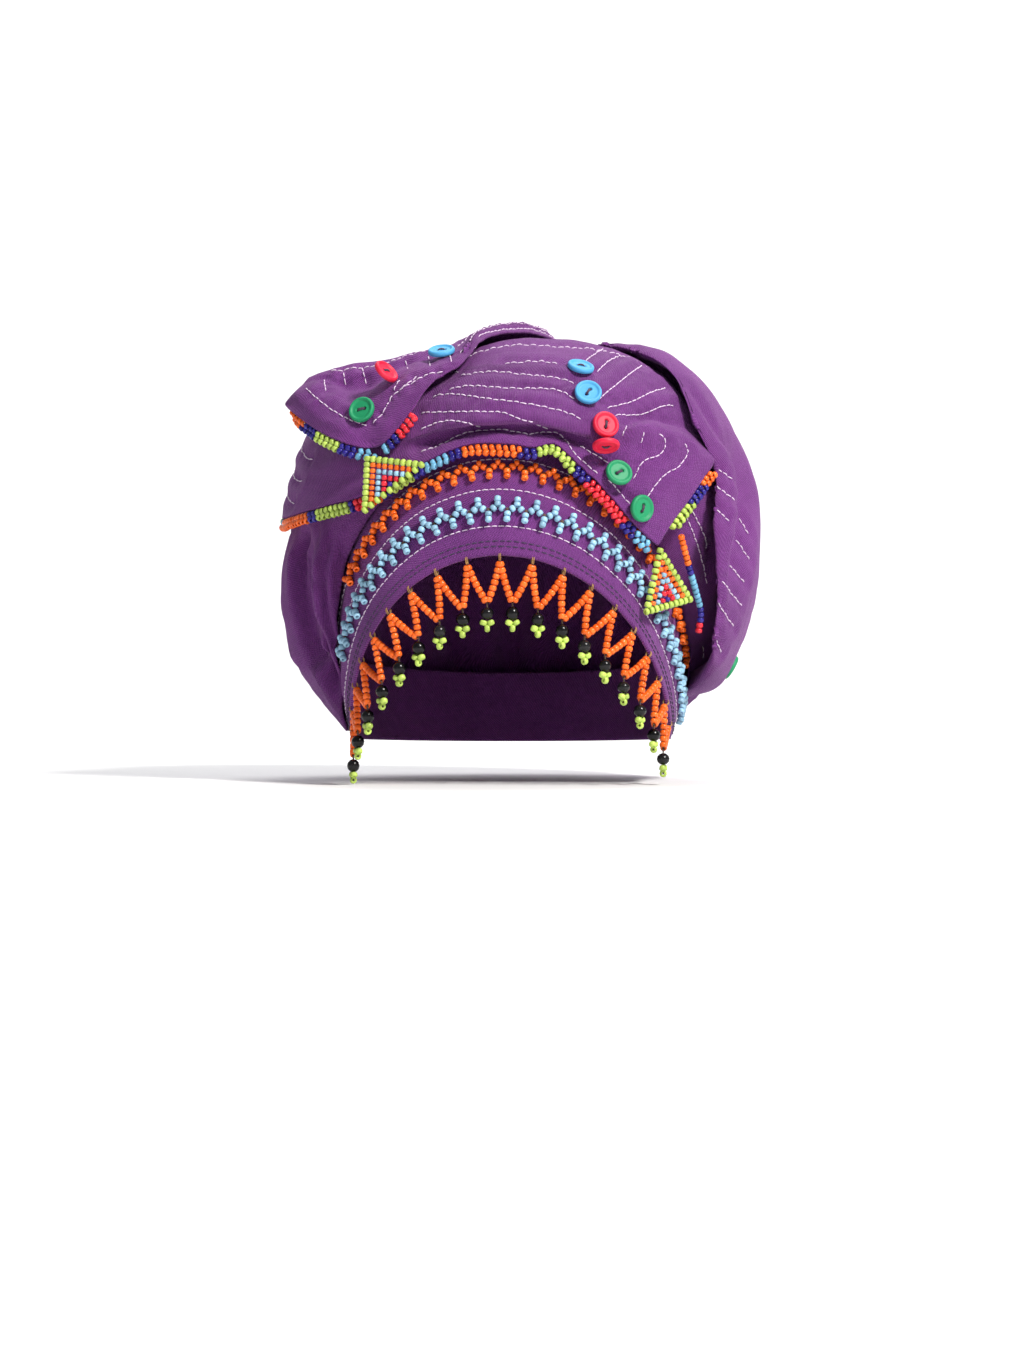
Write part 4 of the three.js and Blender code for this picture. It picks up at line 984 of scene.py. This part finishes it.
# Two staggered rows of beads beside an edge, held by a zigzag thread
def trimBeads(edge, inside, normals):
    outward = unit((edge - inside) - normals * ((edge - inside) * normals).sum(-1, keepdims=True))
    beads = Beads()
    length = lengthAlong(edge)
    columns = np.concatenate([edge, outward, normals], axis=1)
    first, step = trim["out"]
    thread = []
    for i in range(int(length[-1] / trim["pitch"]) * 2):
        place = (i / 2 + trim["start"]) * trim["pitch"]
        if place > length[-1]:
            break
        row = i % 2
        point, out, normal = pick(columns, length, place).reshape(3, 3)
        out, normal = unit(out), unit(normal)
        depth = trim["sink"] + seeded.normal(0, trim["wander"])
        seat = point + out * (first + step * row) - normal * depth
        ahead, behind = (pick(edge, length, place + reach) for reach in (trim["reach"], -trim["reach"]))
        tilt = unit(ahead - behind) + out * trim["tilt"][row]
        beads.bead(seat, tilt, trimColour(seat, i // 2), *trim["size"])
        thread.append(seat)
    beads.thread(curvePoints(thread, len(thread) * 3), trim["thread"])
    return beads


triangle = {
    "side": 10,  # beads along a side
    "sink": 1.7,
    "rim": (1.85, 1.3),
    "inner": (1.5, 1.15),
    "layers": ["lime", "orange", "sky", "red", "navy"],
}


# Nested rows of beads in a triangle, from lime outside to navy at the middle
def triangleBeads(corners):
    apex, right, foot = (overCrown(corner) for corner in corners)
    normal = unit(np.cross(right - apex, foot - apex))
    if normal @ (apex - crown["centre"]) < 0:
        normal = -normal
    beads = Beads()
    side, layers = triangle["side"], triangle["layers"]
    last = side - 1
    for i in range(side):
        for j in range(side - i):
            k = last - i - j
            base = i == 0
            layer = 0 if base else min(j, k)
            point = (apex * i + right * j + foot * k) / last
            way = right - foot if base else (apex - foot if j <= k else apex - right)
            size = triangle["inner"] if layer else triangle["rim"]
            beads.bead(point - normal * triangle["sink"], way, layers[min(layer, 4)], *size)
    return beads


strand = {
    "stations": [(44.9, -0.4, 6.5), (49, -9, 5), (52, -13.5, 3.8), (55.5, -19, 3.2), (56, -24, 3.2)],
    "order": ["orange"] * 4 + ["navy"] * 2 + ["blue"] * 5 + ["navy"] * 2 + ["red"] * 2,
    "first": 1.2,
    "pitch": 2.75,
    "thread": 0.4,
}


def hangingBeads():
    line = evenly(curvePoints(overCrown(strand["stations"]), 200), 60)
    length = lengthAlong(line)
    beads = Beads()
    beads.thread(line, strand["thread"])
    order = strand["order"]
    steps = np.arange(strand["first"], length[-1], strand["pitch"])
    ways = unit(np.gradient(line, axis=0))
    for i, place in enumerate(steps):
        colour = order[min(int(i * len(order) / len(steps)), len(order) - 1)]
        beads.bead(pick(line, length, place), pick(ways, length, place), colour)
    return beads


fringe = {
    "stops": 19,
    "pitch": 16.5,  # between stops along the hem
    "hang": (2.7, 0.75),  # stops below the hem and behind its face
    "vee": 20.0,
    "sag": 0.6,
    "orange": 7,  # beads on a side of a vee
    "orangeSize": (1.85, 1.38),
    "ball": (4.9, 3.3),  # below the vee, and radius
    "pair": (9.5, 1.8),  # below the vee, and aside
    "last": 12.2,
    "limeSize": (1.85, 1.3),
    "stem": (0, 3, 9.2, 12.6),
    "threads": (0.35, 0.4, 0.24),  # radius along the vee, the stem and the loops at the hem
}


def fringeStops():
    angle = np.linspace(-40, 220, 3000)
    length = lengthAlong(onBand(angle, 0))
    middle = np.interp(90, angle, length)
    stops = np.arange(fringe["stops"]) - fringe["stops"] // 2
    return np.interp(middle + stops * fringe["pitch"], length, angle)


# Vees of orange beads between stops along the hem, each with a round bead and a lime cluster
def fringeBeads():
    beads = Beads()
    angles = fringeStops()
    hem, _, upward, outward = bandFrame(angles, 0.0)
    outOfHem = unit(onBand(angles, 0) - onBand(angles, 0.1))
    below, behind = fringe["hang"]
    stops = hem + outOfHem * below - outward * behind
    down = np.array([0.0, 0.0, -1.0])
    veeThread, stemThread, loopThread = fringe["threads"]
    shares = np.linspace(0, 1, 9)
    for i in range(len(stops) - 1):
        across = unit(stops[i + 1] - stops[i])
        hanging = unit(down + across * across[2])
        hanging = unit(hanging * 0.8 + down * 0.2)
        foot = (stops[i] + stops[i + 1]) / 2 + hanging * fringe["vee"]
        for side in (0, 1):
            top = stops[i + side]
            sag = unit(down * 0.5 - across * (1 - 2 * side)) * 0.9
            bow = np.sin(np.pi * shares)[:, None] * sag
            line = top + (foot - top) * shares[:, None] + bow * fringe["sag"]
            beads.thread(line, veeThread)
            for share in (np.arange(fringe["orange"]) + 0.6) / (fringe["orange"] + 0.3):
                beads.bead(pick(line, shares, share), foot - top, "orange", *fringe["orangeSize"])
        beads.thread([foot + down * drop for drop in fringe["stem"]], stemThread)
        drop, radius = fringe["ball"]
        beads.bead(foot + down * drop, down, "black", radius, radius, ballShape)
        drop, apart = fringe["pair"]
        aside = unit(np.cross(down, outward[i]))
        for shift in (-1, 1):
            seat = foot + down * drop + aside * apart * shift
            beads.bead(seat, down + aside * 0.4 * shift, "lime", *fringe["limeSize"])
        beads.bead(foot + down * fringe["last"], aside, "lime", *fringe["limeSize"])
    for i, top in enumerate(stops):
        inFront = hem[i] + outward[i] * 0.3 + upward[i] * 0.8
        atBack = hem[i] - outward[i] * 1.9 + upward[i] * 0.8
        under = hem[i] - outward[i] * 2.0 + outOfHem[i] * 0.9
        over = hem[i] + outward[i] * 0.9 + outOfHem[i] * 0.9
        loop = curvePoints([atBack, under, top, over, inFront], 13)
        for shift in (-0.35, 0.35):
            side = unit(np.cross(upward[i], outward[i])) * shift
            beads.thread(loop + side, loopThread, "gold")
    return beads


# A socket's value, with shader maths by operators
class Signal:
    def __init__(self, tree, socket):
        self.tree, self.socket = tree, socket

    def math(self, operation, first, second=None):
        node = self.tree.nodes.new("ShaderNodeMath")
        node.operation = operation
        for i, value in enumerate((first, second)):
            if isinstance(value, Signal):
                self.tree.links.new(value.socket, node.inputs[i])
            elif value is not None:
                node.inputs[i].default_value = value
        return Signal(self.tree, node.outputs[0])

    def __add__(self, other):
        return self.math("ADD", self, other)

    def __radd__(self, other):
        return self.math("ADD", other, self)

    def __sub__(self, other):
        return self.math("SUBTRACT", self, other)

    def __rsub__(self, other):
        return self.math("SUBTRACT", other, self)

    def __mul__(self, other):
        return self.math("MULTIPLY", self, other)

    def __rmul__(self, other):
        return self.math("MULTIPLY", other, self)

    def sine(self):
        return self.math("SINE", self)

    def size(self):
        return self.math("ABSOLUTE", self)

    def within(self, low, high):
        return self.math("MAXIMUM", self.math("MINIMUM", self, high), low)


# A material with a Principled shader, built node by node
class Finish:
    def __init__(self, name, **constants):
        self.material = bpy.data.materials.new(name)
        self.material.use_nodes = True
        self.tree = self.material.node_tree
        self.shader = self.tree.nodes["Principled BSDF"]
        self.set(**constants)

    def set(self, **values):
        for key, value in values.items():
            socket = self.shader.inputs[key.replace("_", " ").title().replace("Ior", "IOR")]
            if isinstance(value, Signal):
                self.tree.links.new(value.socket, socket)
            elif isinstance(value, tuple):
                socket.default_value = (*value, 1.0)[: len(socket.default_value)]
            else:
                socket.default_value = value
        return self

    def make(self, kind, settings=None, output=0, **values):
        node = self.tree.nodes.new(kind)
        for key, value in (settings or {}).items():
            setattr(node, key, value)
        for key, value in values.items():
            socket = node.inputs[int(key[1:])] if key[1:].isdigit() else node.inputs[key]
            if isinstance(value, Signal):
                self.tree.links.new(value.socket, socket)
            elif isinstance(value, tuple) and len(value) < len(socket.default_value):
                socket.default_value = (*value, 1.0)
            else:
                socket.default_value = value
        return Signal(self.tree, node.outputs[output])

    def mix(self, share, first, second):
        return self.make("ShaderNodeMix", {"data_type": "RGBA"}, 2, i0=share, i6=first, i7=second)


weaveLook = {
    "pitch": 0.0014,
    "wobble": 2.4,
    "slub": (170.0, 1500.0),  # along and across a thread, per metre
    "dark": (0.07, 0.009, 0.10, 1),
    "light": (0.30, 0.058, 0.355, 1),
    "bump": 0.00045,
    "crumple": 0.0009,
    "roughness": 0.74,
}


# Plain woven cotton: two sets of uneven threads, slubs and a soft sheen
def cottonFinish(name):
    cotton = Finish(name, sheen_weight=0.22, sheen_roughness=0.4, sheen_tint=(0.95, 0.55, 1.0))
    place = cotton.make("ShaderNodeUVMap", {"uv_map": "weave"})
    wobble = cotton.make("ShaderNodeTexNoise", Vector=place, Scale=420.0, Detail=2.0)
    u = cotton.make("ShaderNodeSeparateXYZ", Vector=place)
    v = Signal(cotton.tree, u.socket.node.outputs[1])
    turns = 2 * math.pi / weaveLook["pitch"]
    warp, weft = ((way * turns + wobble * weaveLook["wobble"]).sine() for way in (u, v))
    weave = warp * weft * 0.5 + (warp.size() + weft.size()) * 0.35
    slubs = []
    for scale in (weaveLook["slub"], weaveLook["slub"][::-1]):
        long = cotton.make("ShaderNodeVectorMath", {"operation": "MULTIPLY"}, i0=place, i1=(*scale, 1.0))
        slubs.append(cotton.make("ShaderNodeTexNoise", Vector=long, Scale=1.0, Detail=1.0))
    where = cotton.make("ShaderNodeTexCoord", None, 3)
    cloud = cotton.make("ShaderNodeTexNoise", Vector=where, Scale=26.0, Detail=3.0)
    crumple = cotton.make("ShaderNodeTexNoise", Vector=where, Scale=95.0, Detail=4.0)
    tone = (slubs[0] + slubs[1]) * 0.5
    depth = (weave * 0.42 + tone * 0.62 + cloud * 0.35 - 0.34).within(0.0, 1.0)
    colour = cotton.mix(depth, weaveLook["dark"], weaveLook["light"])
    threads = weave + tone * 1.4
    bump = cotton.make("ShaderNodeBump", Strength=1.0, Distance=weaveLook["bump"], Height=threads)
    bump = cotton.make(
        "ShaderNodeBump", Strength=0.6, Distance=weaveLook["crumple"], Height=crumple, Normal=bump
    )
    cotton.set(base_color=colour, normal=bump, roughness=weaveLook["roughness"], specular_ior_level=0.32)
    return cotton.material


def glossFinish(name, colour, roughness=0.24, spread=0.12):
    gloss = Finish(name, roughness=roughness, specular_ior_level=0.32)
    island = gloss.make("ShaderNodeNewGeometry", None, 8)
    darker = tuple(c * (1 - spread * 2.2) for c in colour)
    lighter = tuple(min(1.0, c * (1 + spread) + 0.01) for c in colour)
    gloss.set(base_color=gloss.mix(island, (*darker, 1), (*lighter, 1)))
    return gloss.material


def threadFinish(name, colour):
    thread = Finish(name, roughness=0.7, sheen_weight=0.2)
    where = thread.make("ShaderNodeTexCoord", None, 3)
    fibre = thread.make("ShaderNodeTexNoise", Vector=where, Scale=2600.0, Detail=2.0)
    darker = tuple(c * 0.72 for c in colour)
    bump = thread.make("ShaderNodeBump", Strength=0.5, Distance=0.00015, Height=fibre)
    return thread.set(base_color=thread.mix(fibre, (*darker, 1), (*colour, 1)), normal=bump).material


cotton = cottonFinish("purple_cotton")
stitchThread = threadFinish("lilac_thread", (0.80, 0.64, 0.82))
# Dark plum thread for the hem seams, darker than the cloth: stitches that also carry painted shade of the
# hem tucks
seamAndShadeThread = threadFinish("plum_thread_with_painted_shade", (0.045, 0.012, 0.075))
beadFinishes = []
for key, colour in beadColours.items():
    sewn = key in ("thread", "gold")
    beadFinishes.append(
        threadFinish("sewing_thread_" + key, colour) if sewn else glossFinish(key + "_beads", colour)
    )


# An object for a mesh, lamp or camera, linked to the scene
def linked(name, data):
    made = bpy.data.objects.new(name, data)
    bpy.context.scene.collection.objects.link(made)
    return made


# A smooth mesh of four-sided faces; points are in millimetres
def addMesh(name, points, faces, materials, finish=None, uv=None):
    points, faces = np.asarray(points, float) * mm, np.asarray(faces)
    mesh = bpy.data.meshes.new(name)
    mesh.vertices.add(len(points))
    mesh.vertices.foreach_set("co", points.astype(np.float32).ravel())
    mesh.loops.add(faces.size)
    mesh.loops.foreach_set("vertex_index", faces.astype(np.int32).ravel())
    mesh.polygons.add(len(faces))
    mesh.polygons.foreach_set("loop_start", np.arange(0, faces.size, 4, dtype=np.int32))
    for material in materials:
        mesh.materials.append(material)
    if finish is not None:
        mesh.polygons.foreach_set("material_index", np.asarray(finish, np.int32))
    mesh.polygons.foreach_set("use_smooth", np.ones(len(faces), bool))
    if uv is not None:
        layer = mesh.uv_layers.new(name="weave")
        layer.data.foreach_set("uv", uv[faces.ravel()].astype(np.float32).ravel())
    mesh.update(calc_edges=True)
    return linked(name, mesh)


# Distances along and across the cloth from its middle, in metres
def weaveMap(grid):
    step = np.linalg.norm(np.diff(grid, axis=1), axis=-1)
    u = np.concatenate([np.zeros((len(grid), 1)), np.cumsum(step, axis=1)], axis=1)
    u = u - u[:, grid.shape[1] // 2][:, None]
    rise = np.linalg.norm(np.diff(grid, axis=0), axis=-1)
    v = np.concatenate([np.zeros((1, grid.shape[1])), np.cumsum(rise, axis=0)], axis=0)
    v = v - v[len(grid) // 2][None]
    return np.stack([u, v], -1) * mm


clothThickness = 1.3
smallestShare = 0.32  # of the flat size that a cloth's area may be


# Corners of the cloth's faces: outside, inside and round the edges
def clothFaces(lines, count, closed):
    outside = gridFaces(lines, count, closed)
    total = lines * count
    j = np.arange(count if closed else count - 1)
    k = (j + 1) % count
    top = (lines - 1) * count
    low = np.stack([j + total, k + total, k, j], -1)
    high = np.stack([top + j, top + k, top + k + total, top + j + total], -1)
    faces = [outside, outside[:, ::-1] + total, low, high]
    if not closed:
        below = np.arange(lines - 1) * count
        above, end = below + count, count - 1
        faces.append(np.stack([below, above, above + total, below + total], -1))
        faces.append(np.stack([above + end, below + end, below + end + total, above + end + total], -1))
    return np.concatenate(faces)


def clothMesh(name, cloth):
    grid, closed = cloth["grid"], cloth["closed"]
    inner = grid - gridNormals(grid, closed) * clothThickness
    faces = clothFaces(*grid.shape[:2], closed)
    points = np.concatenate([grid.reshape(-1, 3), inner.reshape(-1, 3)])
    a, b, c, d = (points[faces[:, n]] for n in range(4))
    if (a * np.cross(b, c)).sum() + (a * np.cross(c, d)).sum() < 0:
        faces = faces[:, ::-1]
    flat = np.concatenate([weaveMap(grid).reshape(-1, 2)] * 2)
    made = addMesh(name + "_cloth", points, faces, [cotton], None, flat)
    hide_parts(name)
    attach(made, "root")
    cloth["object"] = made
    flatSize(name, cloth)


# The cloth's longest lines as its flat size, and the area of its outside
def flatSize(name, cloth):
    grid, closed = cloth["grid"], cloth["closed"]
    across = np.linalg.norm(np.diff(grid, axis=0), axis=-1).sum(0)
    along = np.linalg.norm(np.diff(grid, axis=1), axis=-1).sum(1)
    if closed:
        along = along + np.linalg.norm(grid[:, 0] - grid[:, -1], axis=-1)
    a, b, c, d = (grid.reshape(-1, 3)[column] for column in gridFaces(*grid.shape[:2], closed).T)
    area = np.linalg.norm(np.cross(c - a, d - b), axis=-1).sum() / 2
    flat = (float(across.max()) * mm, float(along.max()) * mm)
    share = float(np.clip(area * mm * mm / (flat[0] * flat[1]), smallestShare, 1.0))
    cloth["flat"], cloth["area"] = flat, share * flat[0] * flat[1]
    print(name, "flat", [round(x, 3) for x in flat], "share", round(share, 2))


def addHeap(heap, name, materials, slotName=None, node=None):
    points, faces, finish = (np.concatenate(part) for part in (heap.points, heap.faces, heap.finish))
    made = addMesh(name, points, faces, materials, finish)
    if node:
        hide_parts(node)
    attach(made, "root")
    return made


for name, cloth in cloths.items():
    clothMesh(name, cloth)
print("cloth meshes made")

extras = {name: [] for name in cloths}
for name in cloths:
    heap = Heap()
    for on, points, normals in paths:
        if on == name:
            dashes(heap, points, normals, trees[name])
    if name == "brim_band":
        # Hem seams in the dark plum thread: stitched lines that also paint the shade of the hem tucks
        for points, normals in hemSeamShadeLines():
            dashes(heap, points, normals, trees[name], 1)
    if heap.count:
        extras[name].append(addHeap(heap, name + "_stitches", [stitchThread, seamAndShadeThread]))
print("stitches sewn")


def addBeads(on, name, beads, slotName="mixed_beads"):
    extras[on].append(addHeap(beads.fill(), name + "_beads", beadFinishes, slotName, name))


# Trims: cloth, its edge, and the shares of that edge where the trim starts and ends
trims = {
    "front_bead_edge": ("front_cloth", "lower", 0.0, 1.0),
    "right_bead_edge": ("front_cloth", "end", 0.067, 0.333),
    "corner_left_bead_edge": ("folded_corner", "lower", 0.0, 0.273),
    "corner_right_bead_edge": ("folded_corner", "lower", 0.318, 0.5),
}
trimInset = 8  # grid lines in from the edge that give the way out of the cloth
for name, (on, edge, first, last) in trims.items():
    grid = cloths[on]["grid"]
    normals = gridNormals(grid, False)
    if edge == "lower":
        line, inside, facing = grid[0], grid[trimInset], normals[0]
    else:
        line, inside, facing = grid[:, -1], grid[:, -1 - trimInset], normals[:, -1]
    part = slice(round(first * (len(line) - 1)), round(last * (len(line) - 1)) + 1)
    addBeads(on, name, trimBeads(line[part], inside[part], facing[part]))

# Rows round the band: place, first and last angle, colour, beads in a peak, and slot
bandRows = {
    "blue_bead_row": (0.5, -2, 164, "sky", 2, "light_blue_beads"),
    "orange_bead_row": (1.0, 5, 152, "orange", 1, "orange_beads"),
}
for name, (*row, slotName) in bandRows.items():
    addBeads("brim_band", name, bandBeads(*row), slotName)

triangleCorners = {
    "left_bead_triangle": [(-38.7, 17.2, 13.6), (-24.6, 16.2, 10.4), (-39, 5.4, 11.5)],
    "right_bead_triangle": [(39.2, -4.4, 6.2), (48.6, -15.6, 8), (36, -19.3, 6.4)],
}
for name, corners in triangleCorners.items():
    addBeads("front_cloth", name, triangleBeads(corners))

addBeads("front_cloth", "hanging_strand", hangingBeads())
addBeads("brim_band", "bead_fringe", fringeBeads(), "orange_beads")
print("beads strung")

buttonColours = {"blue": (0.075, 0.36, 0.66), "red": (0.72, 0.012, 0.05), "green": (0.012, 0.27, 0.11)}
buttonFinishes = {
    key: glossFinish(key + "_plastic", colour, 0.5, 0.03) for key, colour in buttonColours.items()
}
buttonThread = threadFinish("button_thread", (0.05, 0.02, 0.06))
# Slant of the line through a button's two holes, in degrees
buttonSlants = {
    "blue_button_1": 8, "blue_button_2": 60, "blue_button_3": 0, "blue_button_4": 40,
    "red_button_1": 75, "red_button_2": 0, "red_button_3": 30, "red_button_4": 60,
    "green_button_1": 35, "green_button_2": 70, "green_button_3": 4, "green_button_4": 20,
}
button = {
    "sides": 56,
    "rim": [(0.12, 0), (6.2, 0), (6.7, 0.35), (6.8, 1.2), (6.72, 1.9), (6.4, 2.4), (5.95, 2.62),
            (5.5, 2.55), (5.1, 2.2), (4.8, 1.95)],
    "dish": list(np.linspace(4.5, 0.12, 15)),
    "dishHeight": 1.82,
    "hole": (1.75, 1.0, 0.25, 1.5),  # from the middle, radius, slope and depth
    "lip": (0.12, 1.35, 0.3),  # height round a hole, radius and width
    "stitch": [(-1.75, 0.5), (-1.6, 1.7), (-0.8, 2.25), (0.8, 2.25), (1.6, 1.7), (1.75, 0.5)],
    "threads": (-0.32, 0.32),
    "threadRadius": 0.34,
    "shank": (0.3, -0.9, -2.2),
    "shankRadius": 0.9,
}


# Foot and axis of the CAD button, from its corners
def buttonSeat(name):
    corners = np.array([v.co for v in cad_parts[name].data.vertices], float) / mm
    corners = np.unique(corners.round(3), axis=0)
    middle = corners.mean(0)
    axis = np.linalg.svd(corners - middle)[2][2]
    heights = (corners - middle) @ axis
    if heights.mean() < (heights.max() + heights.min()) / 2:
        axis, heights = -axis, -heights
    return middle + axis * heights.min(), axis


# A two-hole button on the CAD button's own seat, turned so that its holes follow a slant
def makeButton(name, slant):
    base, axis = buttonSeat(name)
    level = np.array([math.cos(math.radians(slant)), 0, math.sin(math.radians(slant))])
    aside = unit(level - axis * (level @ axis))
    over = np.cross(axis, aside)
    turn = np.arange(button["sides"]) * 2 * np.pi / button["sides"]
    apart, opening, slope, depth = button["hole"]
    lip, lipRadius, lipWidth = button["lip"]
    rings = []
    for radius, height in button["rim"] + [(r, button["dishHeight"]) for r in button["dish"]]:
        x, y = radius * np.cos(turn), radius * np.sin(turn)
        z = np.full(len(turn), float(height))
        if radius in button["dish"]:
            hole = np.minimum(np.hypot(x - apart, y), np.hypot(x + apart, y))
            z = z - depth * np.clip((opening - hole) / slope, 0, 1)
            z = z + lip * bell(hole - lipRadius, lipWidth)
        rings.append(np.stack([x, y, z], -1))
    flat = np.concatenate(rings)
    heap = Heap()
    body = base + flat[:, :1] * aside + flat[:, 1:2] * over + flat[:, 2:] * axis
    heap.add(body, gridFaces(len(rings), len(turn), True), 0)
    for shift in button["threads"]:
        line = np.array([base + aside * x + over * shift + axis * z for x, z in button["stitch"]])
        heap.tube(curvePoints(line, 13), button["threadRadius"], 1)
    heap.tube([base + axis * height for height in button["shank"]], button["shankRadius"], 1)
    colour = name.split("_")[0]
    addHeap(heap, name + "_face", [buttonFinishes[colour], buttonThread], colour + "_button", name)


for name, slant in buttonSlants.items():
    makeButton(name, slant)
print("buttons sewn on")

low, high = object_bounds()
backdrop = {
    "under": 0.0005,
    "halfWidth": 3.2,
    "steps": 60,
    "profile": [(-2.2, 0.0), (1.4, 0.0), (1.75, 0.05), (2.0, 0.2), (2.15, 0.45), (2.2, 2.6)],
}


# A pale floor that curves up into a backdrop
def addFloor(finish):
    steps, height = backdrop["steps"], low.z - backdrop["under"]
    curve = curvePoints([(y, 0.0, z) for y, z in backdrop["profile"]], steps)
    wide = np.linspace(-backdrop["halfWidth"], backdrop["halfWidth"], 3)
    points = np.array([[(x, y, height + max(z, 0.0)) for x in wide] for y, _, z in curve])
    floor = addMesh("floor", points.reshape(-1, 3) / mm, gridFaces(steps, 3, False), [finish])


paper = Finish("pale_paper", roughness=0.9)
grain = paper.make("ShaderNodeTexNoise", Vector=paper.make("ShaderNodeTexCoord", None, 3), Scale=60.0)
paper.set(base_color=paper.mix(grain, (0.86, 0.86, 0.86, 1), (0.9, 0.9, 0.9, 1)))
addFloor(paper.material)


def addLight(name, place, target, size, power, colour):
    lamp = bpy.data.lights.new(name, "AREA")
    lamp.shape, lamp.size, lamp.energy, lamp.color = "DISK", size, power, colour
    holder = linked(name, lamp)
    holder.location = place
    holder.rotation_euler = (Vector(target) - Vector(place)).to_track_quat("-Z", "Y").to_euler()


heart = (0.0, 0.0, 0.0)
addLight("key", (1.0, -1.2, 1.35), heart, 0.4, 58.0, (1.0, 0.97, 0.94))
addLight("fill", (-1.2, -1.9, 0.3), heart, 1.0, 1.5, (0.9, 0.93, 1.0))
addLight("top", (0.2, 0.3, 1.7), heart, 0.7, 9.0, (1.0, 1.0, 1.0))
addLight("backdrop", (0.0, 1.0, 1.9), (0.0, 2.1, 0.2), 1.6, 26.0, (1.0, 1.0, 1.0))

world = bpy.data.worlds.new("pale_room")
world.use_nodes = True
world.node_tree.nodes["Background"].inputs["Color"].default_value = (0.92, 0.94, 1.0, 1.0)
world.node_tree.nodes["Background"].inputs["Strength"].default_value = 0.26
bpy.context.scene.world = world

lens = bpy.data.cameras.new("photo_camera")
lens.sensor_fit = "AUTO"
lens.sensor_width = 36.0
lens.lens = 80.0
lens.clip_start = 0.05
viewer = linked("photo_camera", lens)
viewer.location = tuple(camera["place"] * mm)
viewer.rotation_euler = (math.pi / 2, 0.0, 0.0)
bpy.context.scene.camera = viewer
bpy.context.scene.view_settings.view_transform = "Standard"
bpy.context.scene.view_settings.look = "None"
print("stage set")
